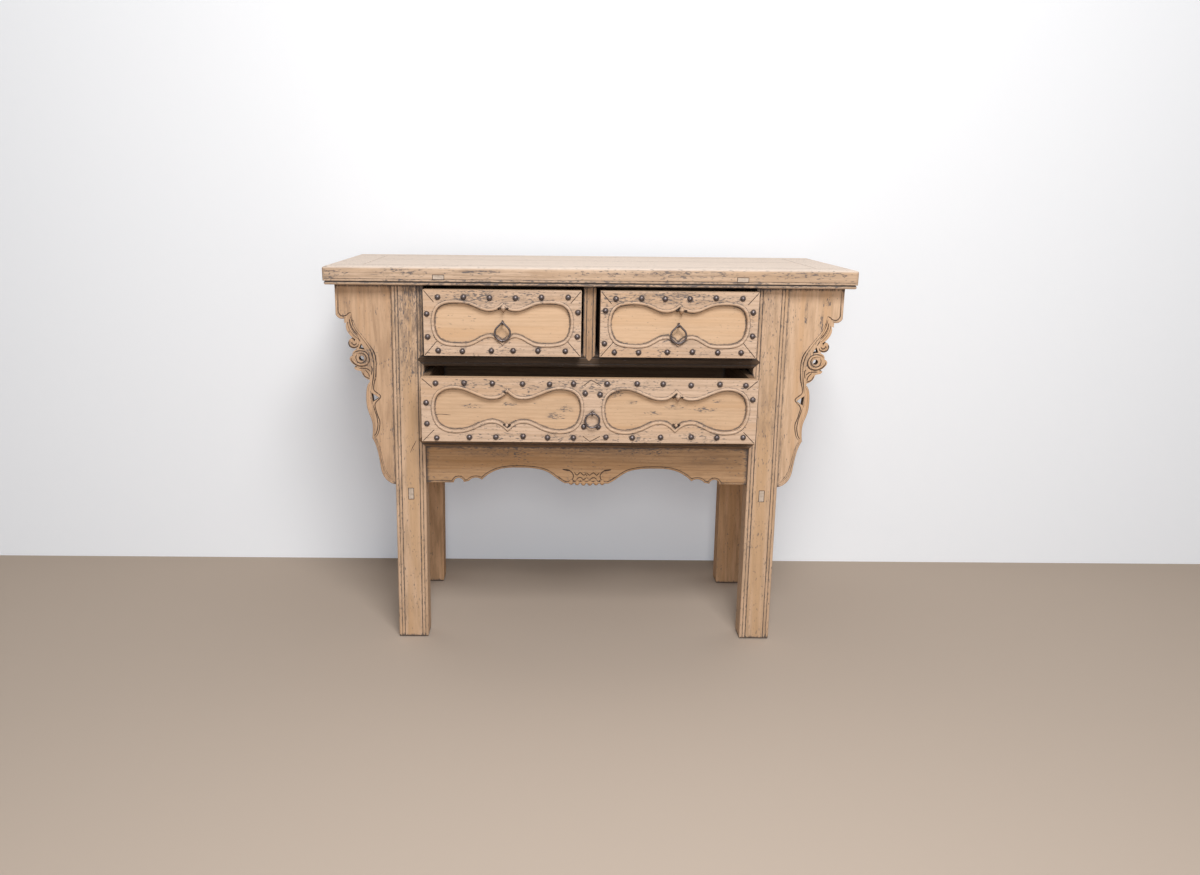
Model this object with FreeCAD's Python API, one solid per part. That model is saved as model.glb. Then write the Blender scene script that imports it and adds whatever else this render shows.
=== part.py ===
import FreeCAD, Part
import math
import os

os.makedirs("parts", exist_ok=True)
Vector = FreeCAD.Vector

# A side table for offerings, in plain elm: a moulded top on four splayed legs, pierced wings
# outside the legs, two small drawers over one wide drawer, and a scalloped apron.
# Millimetres. X runs to the right, Y to the back, Z up. The floor is Z = 0.

# The whole table
table_height = 880.0
top_length = 1170.0
top_depth = 480.0
top_thickness = 40.0

# Moulded edge of the top, as insets from its outer face and heights down from its upper face
edge_round = 8.0
corner_round = 7.0
fascia_height = 26.0
scribe_depth = 1.2
scribe_height = 1.6
fillet_inset = 0.8
fillet_height = 3.6
quirk_inset = 6.0
quirk_height = 1.2
bead_crown_inset = 3.2
underside_inset = 8.5

# Frame and boards of the top
long_rail_width = 62.0
end_board_width = 80.0
board_thickness = 15.0
tongue_thickness = 6.0
tongue_length = 8.0
board_seam_y = 25.0
batten_inset = 253.0
batten_width = 32.0
batten_height = 23.0
batten_tenon_width = 25.0
batten_tenon_height = 10.0
batten_tenon_drop = 2.0

# Legs
leg_width = 70.0
leg_depth = 54.0
leg_setback = 26.0
top_overhang = 145.8
leg_splay = 7.5
foot_round = 5.0
leg_tenon_width = 30.0
leg_tenon_depth = 16.0
leg_tenon_height = 20.0
leg_tenon_setback = 10.0

# Twin beads worked along the edges of the legs, and single ones on rails and post
bead_width = 7.0
bead_depth = 1.8
bead_step = 1.2

# Rails between the legs
upper_opening = 152.0
mid_rail_height = 28.0
lower_opening = 156.0
bottom_rail_height = 30.0
front_rail_depth = 30.0
shoulder_depth = 8.0
rail_tenon_length = 24.0
rail_tenon_depth = 10.0
rail_tenon_margin = 6.0
post_width = 28.0
post_tenon_width = 13.0
post_tenon_depth = 14.0
post_tenon_height = 14.0
back_rail_depth = 25.0

# Side frames
side_panel_thickness = 12.0
side_rail_thickness = 25.0
side_tenon_width = 11.0
side_tenon_length = 18.0
stretcher_thickness = 20.0
stretcher_height = 35.0
stretcher_drop = 96.0
stretcher_tenon_margin = 4.0
panel_tongue = 8.0
back_panel_thickness = 12.0

# Apron, as shares of its half length and of its height, from the middle to the leg
apron_height = 89.0
apron_thickness = 18.0
apron_setback = 9.0
apron_tongue = 6.0
apron_pendant_shares = ((0.0, 0.99), (0.135, 0.99))
apron_arch_shares = ((0.135, 0.99), (0.189, 0.85), (0.244, 0.69), (0.324, 0.595), (0.425, 0.575),
                     (0.526, 0.605), (0.607, 0.745), (0.654, 0.91))
apron_wave_shares = ((0.654, 0.91), (0.693, 0.855), (0.735, 0.945))
apron_step_shares = ((0.735, 0.945), (0.767, 0.975))
apron_notch_shares = ((0.767, 0.975), (0.8, 0.865), (0.83, 0.99))

# Wings, as shares of their width and drop, measured out from the leg and down from the top
wing_width = 127.0
wing_drop = 459.0
wing_thickness = 22.0
wing_setback = 7.0
wing_tongue_length = 8.0
wing_tongue_thickness = 8.0
wing_edge_shares = ((0.99, 0.0), (0.988, 0.147))
wing_corner_shares = ((0.988, 0.147), (0.957, 0.16), (0.889, 0.168))
wing_barb_shares = ((0.889, 0.168), (0.845, 0.168), (0.84, 0.19), (0.808, 0.186))
wing_neck_shares = ((0.808, 0.186), (0.805, 0.222), (0.74, 0.25), (0.66, 0.268))
wing_undercut_shares = ((0.66, 0.268), (0.68, 0.279))
wing_small_curl_shares = ((0.68, 0.279), (0.692, 0.27), (0.722, 0.2635), (0.759, 0.268),
                          (0.784, 0.286), (0.765, 0.303), (0.708, 0.312), (0.645, 0.31))
wing_gap_shares = ((0.645, 0.31), (0.642, 0.317))
wing_upper_lobe_shares = ((0.642, 0.317), (0.69, 0.3235), (0.718, 0.337), (0.706, 0.35))
wing_lower_lobe_shares = ((0.706, 0.35), (0.738, 0.349), (0.771, 0.362), (0.748, 0.378),
                          (0.69, 0.393), (0.63, 0.404))
wing_leaf_tip_shares = ((0.63, 0.404), (0.695, 0.405))
wing_leaf_shares = ((0.695, 0.405), (0.684, 0.413), (0.635, 0.42), (0.573, 0.4235))
wing_second_leaf_shares = ((0.573, 0.4235), (0.555, 0.438), (0.50, 0.457), (0.432, 0.4665))
wing_nick_shares = ((0.432, 0.4665), (0.42, 0.475))
wing_belly_shares = ((0.42, 0.475), (0.458, 0.487), (0.49, 0.517), (0.50, 0.55), (0.47, 0.625),
                     (0.41, 0.675), (0.40, 0.72), (0.414, 0.76))
wing_tail_shares = ((0.414, 0.76), (0.33, 0.82), (0.285, 0.89), (0.23, 0.955), (0.14, 0.985),
                    (0.0, 1.0))
wing_eye_shares = (0.56, 0.36)
wing_eye_radius = 6.0
wing_cut_shares = (((0.56, 0.287), (0.602, 0.313), (0.50, 0.317)),
                   ((0.405, 0.53), (0.385, 0.577), (0.265, 0.556)))

# Runners that carry the drawers
runner_height = 22.0
runner_ledge = 24.0
guide_height = 20.0
centre_guide_width = 24.0
centre_guide_height = 30.0
runner_stub_length = 10.0
runner_stub_margin = 5.0

# Drawers
drawer_running_gap = 0.4
small_drawer_side_room = 4.6
left_drawer_offset = -1.0
right_drawer_offset = 3.6
wide_drawer_side_room = 1.0
small_drawer_headroom = 8.0
wide_drawer_headroom = 13.6
small_drawer_pull = 35.0
wide_drawer_pull = 78.0
drawer_frame_thickness = 9.0
drawer_front_thickness = 18.0
drawer_side_thickness = 14.0
drawer_back_thickness = 12.0
drawer_bottom_thickness = 8.0
drawer_bottom_rise = 8.0
drawer_groove_depth = 6.0
drawer_lap = 10.0
drawer_side_drop = 2.0
drawer_back_room = 14.0

# Shaped openings of the drawer mouldings, as shares of the half width and of the front's height.
# Each half runs from the peak at the top, round the side, to the cusp at the foot. Its first and
# last points lie past the middle, so that the bead can be mitred there
moulding_bead_width = 6.4
moulding_bead_height = 3.0
moulding_bead_quirk = 0.6
small_span_share = 0.863
small_opening_shares = ((-0.04, 0.197), (0.0, 0.242), (0.108, 0.304), (0.235, 0.315), (0.47, 0.226),
                        (0.657, 0.198), (0.929, 0.262), (1.0, 0.50), (0.92, 0.742),
                        (0.648, 0.808), (0.47, 0.79), (0.262, 0.68), (0.135, 0.672),
                        (0.0, 0.765), (-0.04, 0.81))
wide_centre_shares = (-0.487, 0.515)
wide_span_shares = (0.435, 0.423)
wide_opening_shares = ((-0.04, 0.175), (0.0, 0.222), (0.093, 0.30), (0.258, 0.325), (0.439, 0.262),
                       (0.717, 0.168), (0.945, 0.26), (1.0, 0.499), (0.918, 0.742),
                       (0.706, 0.815), (0.481, 0.757), (0.292, 0.665), (0.115, 0.675),
                       (0.0, 0.768), (-0.04, 0.815))
stile_offset = 8.0
stile_reach = 42.0
stile_tip_half_width = 4.0
stile_tip_margin = 5.5

# Domed nails, as shares of the front's width from its left end and of its height from its top
nail_radius = 6.2
nail_height = 5.2
nail_shank = 2.2
nail_shank_length = 7.0
left_nail_shares = (
    (0.093, 0.109), (0.256, 0.106), (0.42, 0.115), (0.583, 0.113), (0.747, 0.102), (0.915, 0.098),
    (0.09, 0.92), (0.244, 0.93), (0.429, 0.918), (0.568, 0.914), (0.726, 0.912), (0.901, 0.914),
    (0.022, 0.363), (0.025, 0.712), (0.978, 0.324), (0.976, 0.692))
right_nail_shares = (
    (0.096, 0.112), (0.257, 0.102), (0.406, 0.108), (0.563, 0.104), (0.727, 0.09), (0.896, 0.093),
    (0.093, 0.925), (0.248, 0.926), (0.432, 0.915), (0.592, 0.91), (0.754, 0.917), (0.904, 0.915),
    (0.031, 0.291), (0.029, 0.792), (0.967, 0.301), (0.971, 0.661))
wide_nail_shares = (
    (0.044, 0.084), (0.128, 0.075), (0.212, 0.078), (0.301, 0.083), (0.381, 0.084), (0.452, 0.075),
    (0.551, 0.07), (0.64, 0.067), (0.717, 0.067), (0.80, 0.084), (0.885, 0.067), (0.962, 0.08),
    (0.044, 0.945), (0.142, 0.932), (0.221, 0.925), (0.303, 0.91), (0.376, 0.929), (0.454, 0.926),
    (0.551, 0.913), (0.63, 0.92), (0.715, 0.908), (0.807, 0.90), (0.884, 0.908), (0.963, 0.90),
    (0.015, 0.388), (0.016, 0.72), (0.985, 0.303),
    (0.487, 0.226), (0.531, 0.24), (0.484, 0.749), (0.527, 0.751))

# Ring pulls
ring_wire_radius = 2.1
ring_radius = 16.8
ring_neck_radius = 4.0
ring_neck_drop = 18.0
wide_ring_radius = 15.6
eye_wire_radius = 1.5
eye_slack = 0.8
eye_seat_gap = 0.3
ring_front_gap = 0.5
shank_radius = 2.2
clinch_length = 18.0
clinch_width = 3.0
clinch_thickness = 1.6
left_eye_shares = (0.501, 0.486)
right_eye_shares = (0.498, 0.502)
wide_eye_shares = (0.509, 0.529)

# One length by which every cutting solid runs past what it cuts
overrun = 5.0

# Levels and faces that follow from the sizes above
under_top = table_height - top_thickness
legs_width_at_top = top_length - 2 * top_overhang
mid_rail_top = under_top - upper_opening
mid_rail_foot = mid_rail_top - mid_rail_height
bottom_rail_top = mid_rail_foot - lower_opening
bottom_rail_foot = bottom_rail_top - bottom_rail_height
stretcher_top = bottom_rail_foot - stretcher_drop
leg_face = -top_depth / 2 + leg_setback
leg_rear = leg_face + leg_depth
board_foot = table_height - board_thickness
long_rail_inner = top_depth / 2 - long_rail_width
end_board_inner = top_length / 2 - end_board_width
leg_bead_zone = 2 * bead_width + bead_step
front_rail_rear = leg_face + front_rail_depth
back_panel_y = -leg_face - (leg_depth + back_panel_thickness) / 2
back_rail_y = -leg_face - (leg_depth + back_rail_depth) / 2
leg_middle = leg_width / 2
eye_radius = ring_wire_radius + eye_slack + eye_wire_radius
eye_lift = eye_slack - eye_seat_gap
small_ring_reach = moulding_bead_height + ring_front_gap + ring_wire_radius
wide_ring_reach = nail_height + ring_front_gap + ring_wire_radius

nodes = {}


def leg_outer(z):
    """Distance from the middle of the table to a leg's outer face at height z."""
    return legs_width_at_top / 2 + leg_splay * (under_top - z) / under_top


def leg_inner(z):
    return leg_outer(z) - leg_width


def box(x0, x1, y0, y1, z0, z1):
    return Part.makeBox(x1 - x0, y1 - y0, z1 - z0, Vector(x0, y0, z0))


def fuse(first, *others):
    return first.fuse(list(others)).removeSplitter()


def mirrored(shape):
    """The same piece on the other side of the table's middle plane, left to right."""
    return shape.mirror(Vector(0, 0, 0), Vector(1, 0, 0))


def mirrored_back(shape):
    """The same piece at the back of the table."""
    return shape.mirror(Vector(0, 0, 0), Vector(0, 1, 0))


def stroke_edge(points):
    """A line through two points, an arc through three, a smooth curve through more."""
    if len(points) == 2:
        return Part.makeLine(points[0], points[1])
    if len(points) == 3:
        return Part.Arc(points[0], points[1], points[2]).toShape()
    curve = Part.BSplineCurve()
    curve.interpolate(points)
    return curve.toShape()


def path_edges(corners):
    return [Part.makeLine(a, b) for a, b in zip(corners, corners[1:])]


def elevation_prism(corners, y0, y1):
    """A flat piece whose front view has the given (x, z) corners."""
    points = [Vector(x, y0, z) for x, z in corners]
    face = Part.Face(Part.Wire(path_edges(points + points[:1])))
    return face.extrude(Vector(0, y1 - y0, 0))


def leg_line_block(side, u0, u1, z0, z1, y0, y1):
    """A block that leans with the legs, between depths u0 and u1 inward from their outer face."""
    corners = [(side * (leg_outer(z) - u), z) for u, z in ((u0, z0), (u1, z0), (u1, z1), (u0, z1))]
    return elevation_prism(corners, y0, y1)


# Moulded top

def edge_strokes(half, place):
    """One moulded edge from the upper face down to the underside, at a distance from the middle."""
    round_share = 1 - math.sqrt(0.5)
    scribe_mid = fascia_height + scribe_height / 2
    fillet_top = fascia_height + scribe_height
    quirk_top = fillet_top + fillet_height
    bead_top = quirk_top + quirk_height
    spots = [(edge_round, 0), (edge_round * round_share, edge_round * round_share), (0, edge_round),
             (0, fascia_height), (scribe_depth, scribe_mid), (fillet_inset, fillet_top),
             (fillet_inset, quirk_top), (quirk_inset, bead_top),
             (bead_crown_inset, (bead_top + top_thickness) / 2), (underside_inset, top_thickness)]
    points = [place(half - inset, table_height - drop) for inset, drop in spots]
    edges = [stroke_edge(points[0:3])] + path_edges(points[2:8]) + [stroke_edge(points[7:10])]
    return edges, points[0], points[-1]


def moulded_section(half, place):
    """The section of the whole top, with the moulded edge on both sides."""
    right, right_top, right_foot = edge_strokes(half, place)
    left, left_top, left_foot = edge_strokes(half, lambda h, z: place(-h, z))
    lines = [Part.makeLine(left_top, right_top), Part.makeLine(left_foot, right_foot)]
    return Part.Face(Part.Wire(Part.__sortEdges__(right + left + lines)))


def moulded_top():
    """The moulding goes round all four edges and mitres at the corners, which are worn round."""
    along = moulded_section(top_depth / 2, lambda h, z: Vector(-top_length, h, z))
    across = moulded_section(top_length / 2, lambda h, z: Vector(h, -top_depth, z))
    blank = along.extrude(Vector(2 * top_length, 0, 0))
    blank = blank.common(across.extrude(Vector(0, 2 * top_depth, 0)))
    room = box(-top_length / 2, top_length / 2, -top_depth / 2, top_depth / 2, under_top, table_height)
    upright = [edge for edge in room.Edges if edge.BoundBox.ZLength > top_thickness / 2]
    return blank.common(room.makeFillet(corner_round, upright))


def build_top():
    blank = moulded_top()
    z0, z1 = under_top - overrun, table_height + overrun
    half_length, half_depth = top_length / 2 + overrun, top_depth / 2 + overrun
    tongue_foot = board_foot + (board_thickness - tongue_thickness) / 2
    tongue_top = tongue_foot + tongue_thickness
    seat = long_rail_inner + tongue_length
    end_seat = end_board_inner + tongue_length
    tongue_end = top_length / 2 - long_rail_width

    front_rail = blank.common(box(-half_length, half_length, -half_depth, -long_rail_inner, z0, z1))
    front_rail = front_rail.cut(box(-tongue_end, tongue_end, -seat, -long_rail_inner,
                                    tongue_foot, tongue_top))
    end_board = blank.common(box(end_board_inner, half_length, -long_rail_inner, long_rail_inner, z0, z1))
    end_tongue = box(end_board_inner, tongue_end, -seat, seat, tongue_foot, tongue_top)
    end_board = fuse(end_board, end_tongue)
    end_board = end_board.cut(box(end_board_inner, end_seat, -seat, seat, tongue_foot, tongue_top))

    tenon_half = batten_tenon_width / 2
    tenon_top = board_foot - batten_tenon_drop
    tenon_x = top_length / 2 - batten_inset
    tenon = box(tenon_x - tenon_half, tenon_x + tenon_half, -top_depth / 2, top_depth / 2,
                tenon_top - batten_tenon_height, tenon_top)
    batten = box(tenon_x - batten_width / 2, tenon_x + batten_width / 2, -long_rail_inner,
                 long_rail_inner, board_foot - batten_height, board_foot)
    batten = fuse(batten, tenon)

    for cutter in (tenon, mirrored(tenon), leg_tenon(1), leg_tenon(-1), post_tenon()):
        front_rail = front_rail.cut(cutter)
    back_rail = blank.common(box(-half_length, half_length, long_rail_inner, half_depth, z0, z1))
    back_rail = back_rail.cut(box(-tongue_end, tongue_end, long_rail_inner, seat,
                                  tongue_foot, tongue_top))
    for cutter in (tenon, mirrored(tenon), mirrored_back(leg_tenon(1)), mirrored_back(leg_tenon(-1))):
        back_rail = back_rail.cut(cutter)

    nodes["top_front_rail"] = front_rail
    nodes["top_back_rail"] = back_rail
    nodes["top_end_board_right"] = end_board
    nodes["top_end_board_left"] = mirrored(end_board)
    nodes["top_batten_right"] = batten
    nodes["top_batten_left"] = mirrored(batten)
    spans = {"top_board_front": (-long_rail_inner, board_seam_y, -seat, board_seam_y),
             "top_board_back": (board_seam_y, long_rail_inner, board_seam_y, seat)}
    for name, (y0, y1, tongue_y0, tongue_y1) in spans.items():
        board = box(-end_board_inner, end_board_inner, y0, y1, board_foot, table_height)
        tongue = box(-end_seat, end_seat, tongue_y0, tongue_y1, tongue_foot, tongue_top)
        nodes[name] = fuse(board, tongue)


# Legs

def leg_tenon(side):
    """The tenon on a front leg's head, which stands in the top's long rail."""
    x = side * (leg_outer(under_top) - leg_middle)
    y = leg_face + leg_tenon_setback
    half = leg_tenon_width / 2
    return box(x - half, x + half, y, y + leg_tenon_depth, under_top, under_top + leg_tenon_height)


def beaded_face(width, place, beads):
    """Edges of a face with side-by-side half-round beads at both ends and a flat field between."""
    edges = []
    spots = []
    for i in range(beads):
        spots.append([(i * bead_width, bead_depth), ((i + 0.5) * bead_width, 0),
                      ((i + 1) * bead_width, bead_depth)])
    field = beads * bead_width + bead_step
    for trio in spots:
        edges.append(stroke_edge([place(u, v) for u, v in trio]))
        edges.append(stroke_edge([place(width - u, v) for u, v in trio]))
    edges.append(Part.makeLine(place(beads * bead_width, bead_depth), place(field, 0)))
    edges.append(Part.makeLine(place(field, 0), place(width - field, 0)))
    edges.append(Part.makeLine(place(width - field, 0), place(width - beads * bead_width, bead_depth)))
    return edges


def beaded_section(width, depth, place, beads):
    edges = beaded_face(width, place, beads)
    edges += path_edges([place(0, bead_depth), place(0, depth), place(width, depth),
                         place(width, bead_depth)])
    return Part.Face(Part.Wire(Part.__sortEdges__(edges)))


def foot_room(side, y0, y1):
    """The room a leg fills, its foot worn round."""
    room = leg_line_block(side, 0, leg_width, 0, under_top, y0, y1)
    lowest = [edge for edge in room.Edges if edge.BoundBox.ZMax < foot_round]
    return room.makeFillet(foot_round, lowest)


def front_leg(side):
    foot = leg_outer(0)
    section = beaded_section(leg_width, leg_depth,
                             lambda u, v: Vector(side * (foot - u), leg_face + v, 0), 2)
    leg = section.extrude(Vector(-side * leg_splay, 0, under_top))
    return fuse(leg.common(foot_room(side, leg_face, leg_rear)), leg_tenon(side))


def rear_leg(side):
    return fuse(foot_room(side, -leg_rear, -leg_face), mirrored_back(leg_tenon(side)))


# Rails and post of the front

def rail_tenon(side, z0, z1, y0):
    return leg_line_block(side, leg_width - rail_tenon_length, leg_width, z0 + rail_tenon_margin,
                          z1 - rail_tenon_margin, y0, y0 + rail_tenon_depth)


def rail_points(z0, z1, reach):
    """Front view of a rail between the leaning legs, with points that reach over the beads."""
    middle = (z0 + z1) / 2
    right = [(leg_inner(z0), z0), (leg_inner(middle) + reach, middle), (leg_inner(z1), z1)]
    return right + [(-x, z) for x, z in reversed(right)]


def front_rail_tenon_y():
    return leg_face + (front_rail_depth + shoulder_depth - rail_tenon_depth) / 2


def pointed_layer(z0, z1):
    return elevation_prism(rail_points(z0, z1, leg_bead_zone), leg_face, leg_face + shoulder_depth)


def front_rail(z0, z1):
    """A rail with beaded edges whose pointed shoulders lie in the legs' beads."""
    reach = leg_inner(z0) + leg_bead_zone + overrun
    section = beaded_section(z1 - z0, front_rail_depth,
                             lambda u, v: Vector(-reach, leg_face + v, z0 + u), 1)
    bar = section.extrude(Vector(2 * reach, 0, 0))
    body = elevation_prism(rail_points(z0, z1, 0), leg_face + shoulder_depth, front_rail_rear)
    rail = bar.common(fuse(body, pointed_layer(z0, z1)))
    y = front_rail_tenon_y()
    return fuse(rail, rail_tenon(1, z0, z1, y), rail_tenon(-1, z0, z1, y))


def post_tenon():
    half = post_tenon_width / 2
    y = leg_face + (front_rail_depth - post_tenon_depth) / 2
    return box(-half, half, y, y + post_tenon_depth, under_top, under_top + post_tenon_height)


def post_point():
    """The pointed foot of the post, let into the face of the rail below."""
    half = post_width / 2
    corners = [(-half, mid_rail_top), (half, mid_rail_top), (0, mid_rail_top - half)]
    return elevation_prism(corners, leg_face, leg_face + shoulder_depth)


def divider_post():
    half = post_width / 2
    foot = mid_rail_top - half
    section = beaded_section(post_width, front_rail_depth,
                             lambda u, v: Vector(u - half, leg_face + v, foot), 1)
    bar = section.extrude(Vector(0, 0, under_top - foot))
    room = fuse(box(-half, half, leg_face, front_rail_rear, mid_rail_top, under_top), post_point())
    return fuse(bar.common(room), post_tenon())


def build_front():
    mid_rail = front_rail(mid_rail_foot, mid_rail_top)
    mid_rail = mid_rail.cut(post_point()).cut(centre_stub())
    nodes["mid_rail"] = mid_rail
    nodes["bottom_rail"] = front_rail(bottom_rail_foot, bottom_rail_top)
    nodes["divider_post"] = divider_post()
    nodes["apron"] = apron()


# Apron

def apron_half(side, foot, top):
    """Lower edge of the apron from the middle to one leg."""
    half = leg_inner(foot)
    edges = []
    for shares in (apron_pendant_shares, apron_arch_shares, apron_wave_shares, apron_step_shares,
                   apron_notch_shares):
        points = [Vector(side * half * a, 0, top - apron_height * d) for a, d in shares]
        edges.append(stroke_edge(points))
    last_a, last_d = apron_notch_shares[-1]
    start = Vector(side * half * last_a, 0, top - apron_height * last_d)
    end = Vector(side * (leg_inner(foot) + apron_tongue), 0, start.z)
    corner = Vector(side * (leg_inner(top) + apron_tongue), 0, top)
    return edges + path_edges([start, end, corner]), corner


def apron():
    """A board under the bottom rail, cut to two arches, let into both legs."""
    top = bottom_rail_foot
    foot = top - apron_height
    right, right_corner = apron_half(1, foot, top)
    left, left_corner = apron_half(-1, foot, top)
    outline = right + left + [Part.makeLine(left_corner, right_corner)]
    face = Part.Face(Part.Wire(Part.__sortEdges__(outline)))
    face.translate(Vector(0, leg_face + apron_setback, 0))
    return face.extrude(Vector(0, apron_thickness, 0))


# Wings

def wing_point(shares):
    """A point of the right wing, out from the leaning leg and down from the top."""
    out, down = shares
    z = under_top - wing_drop * down
    return Vector(leg_outer(z) + wing_width * out, 0, z)


def wing_plate():
    edges = []
    smooth = (wing_edge_shares, wing_corner_shares, wing_neck_shares, wing_undercut_shares,
              wing_small_curl_shares, wing_gap_shares, wing_upper_lobe_shares,
              wing_lower_lobe_shares, wing_leaf_tip_shares, wing_leaf_shares,
              wing_second_leaf_shares, wing_nick_shares, wing_belly_shares, wing_tail_shares)
    for shares in smooth:
        edges.append(stroke_edge([wing_point(pair) for pair in shares]))
    edges += path_edges([wing_point(pair) for pair in wing_barb_shares])
    foot = wing_point(wing_tail_shares[-1])
    head = wing_point((0, 0))
    edges += path_edges([foot, head, wing_point(wing_edge_shares[0])])
    face = Part.Face(Part.Wire(Part.__sortEdges__(edges)))
    face.translate(Vector(0, leg_face + wing_setback, 0))
    return face.extrude(Vector(0, wing_thickness, 0))


def wing_tongue():
    y = leg_face + wing_setback + (wing_thickness - wing_tongue_thickness) / 2
    return leg_line_block(1, 0, wing_tongue_length, under_top - wing_drop, under_top, y,
                          y + wing_tongue_thickness)


def wing(pierced):
    """A shaped bracket outside a leg and under the top. The front ones are pierced."""
    plate = fuse(wing_plate(), wing_tongue())
    if pierced:
        y = leg_face + wing_setback - overrun
        depth = wing_thickness + 2 * overrun
        centre = wing_point(wing_eye_shares)
        centre.y = y
        plate = plate.cut(Part.makeCylinder(wing_eye_radius, depth, centre, Vector(0, 1, 0)))
        for cut in wing_cut_shares:
            corners = [(wing_point(pair).x, wing_point(pair).z) for pair in cut]
            plate = plate.cut(elevation_prism(corners, y, y + depth))
    return plate


# Side and back frames

def side_block(side, thickness, z0, z1, reach):
    """A piece of a side frame, centred on the legs' width, reaching into the legs."""
    inner = leg_middle + thickness / 2
    outer = leg_middle - thickness / 2
    return leg_line_block(side, outer, inner, z0, z1, leg_rear - reach, reach - leg_rear)


def side_panel(side):
    return side_block(side, side_panel_thickness, bottom_rail_top, board_foot, panel_tongue)


def side_rail(side):
    bar = side_block(side, side_rail_thickness, bottom_rail_foot, bottom_rail_top, 0)
    tenon = side_block(side, side_tenon_width, bottom_rail_foot + rail_tenon_margin,
                       bottom_rail_top - rail_tenon_margin, side_tenon_length)
    return fuse(bar, tenon), tenon


def side_stretcher(side):
    """A low bar whose tenons come right through the legs and show on their faces."""
    foot = stretcher_top - stretcher_height
    bar = side_block(side, stretcher_thickness, foot, stretcher_top, 0)
    tenon = side_block(side, side_tenon_width, foot + stretcher_tenon_margin,
                       stretcher_top - stretcher_tenon_margin, leg_depth)
    return fuse(bar, tenon), tenon


def back_panel():
    z0, z1 = bottom_rail_top, under_top
    corners = [(leg_inner(z0) + panel_tongue, z0), (leg_inner(z1) + panel_tongue, z1)]
    corners += [(-x, z) for x, z in reversed(corners)]
    return elevation_prism(corners, back_panel_y, back_panel_y + back_panel_thickness)


def back_rail():
    z0, z1 = bottom_rail_foot, bottom_rail_top
    y = back_rail_y + (back_rail_depth - rail_tenon_depth) / 2
    bar = elevation_prism(rail_points(z0, z1, 0), back_rail_y, back_rail_y + back_rail_depth)
    return fuse(bar, rail_tenon(1, z0, z1, y), rail_tenon(-1, z0, z1, y))


def build_sides_and_legs():
    tenon_y = front_rail_tenon_y()
    back_tenon_y = back_rail_y + (back_rail_depth - rail_tenon_depth) / 2
    levels = ((mid_rail_foot, mid_rail_top), (bottom_rail_foot, bottom_rail_top))
    wings = {1: wing(True), -1: mirrored(wing(True))}
    plain_wing = mirrored_back(wing(False))
    plain_wings = {1: plain_wing, -1: mirrored(plain_wing)}
    tongues = {1: wing_tongue(), -1: mirrored(wing_tongue())}
    for side, word in ((1, "right"), (-1, "left")):
        rail, rail_end = side_rail(side)
        stretcher, stretcher_end = side_stretcher(side)
        panel = side_panel(side)
        shared = [panel, rail_end, stretcher_end]
        front = front_leg(side)
        for z0, z1 in levels:
            front = front.cut(pointed_layer(z0, z1)).cut(rail_tenon(side, z0, z1, tenon_y))
        for cutter in shared + [tongues[side], nodes["apron"]]:
            front = front.cut(cutter)
        rear = rear_leg(side)
        rear = rear.cut(rail_tenon(side, bottom_rail_foot, bottom_rail_top, back_tenon_y))
        for cutter in shared + [mirrored_back(tongues[side]), nodes["back_panel"]]:
            rear = rear.cut(cutter)
        nodes["leg_front_" + word] = front
        nodes["leg_rear_" + word] = rear
        nodes["wing_front_" + word] = wings[side]
        nodes["wing_rear_" + word] = plain_wings[side]
        nodes["side_panel_" + word] = panel
        nodes["side_rail_" + word] = rail
        nodes["side_stretcher_" + word] = stretcher


# Runners

def side_runner(side, top, outer, rear):
    """A ledge that a drawer slides on, with a guide beside it between the legs."""
    ledge = leg_line_block(side, leg_width, leg_width + runner_ledge, top - runner_height, top,
                           front_rail_rear, rear)
    guide = leg_line_block(side, outer, leg_width, top - runner_height, top + guide_height,
                           leg_rear, -leg_rear)
    return fuse(ledge, guide)


def centre_stub():
    """The short tenon of the middle runner, in the back of the mid rail."""
    half = centre_guide_width / 2
    foot = mid_rail_top - runner_height
    return box(-half, half, front_rail_rear - runner_stub_length, front_rail_rear,
               foot + runner_stub_margin, mid_rail_top - runner_stub_margin)


def centre_runner():
    half = post_width / 2 + runner_ledge
    guide_half = centre_guide_width / 2
    ledge = box(-half, half, front_rail_rear, back_panel_y, mid_rail_top - runner_height, mid_rail_top)
    guide = box(-guide_half, guide_half, front_rail_rear, back_panel_y, mid_rail_top,
                mid_rail_top + centre_guide_height)
    return fuse(ledge, guide, centre_stub())


def build_runners():
    panel_face = leg_middle + side_panel_thickness / 2
    rail_face = leg_middle + side_rail_thickness / 2
    for side, word in ((1, "right"), (-1, "left")):
        nodes["runner_upper_" + word] = side_runner(side, mid_rail_top, panel_face, back_panel_y)
        nodes["runner_lower_" + word] = side_runner(side, bottom_rail_top, rail_face, back_rail_y)
    nodes["runner_upper_middle"] = centre_runner()


# Drawer mouldings

def opening_half(side, centre, half_span, z0, z1, shares, y):
    """One half of an opening's shaped line: all of its curve, and the stretch that bounds the hole."""
    height = z1 - z0
    points = [Vector(centre + side * half_span * a, y, z1 - height * v) for a, v in shares]
    curve = Part.BSplineCurve()
    curve.interpolate(points)
    return curve.toShape(), curve.toShape(curve.parameter(points[1]), curve.parameter(points[-2]))


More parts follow.
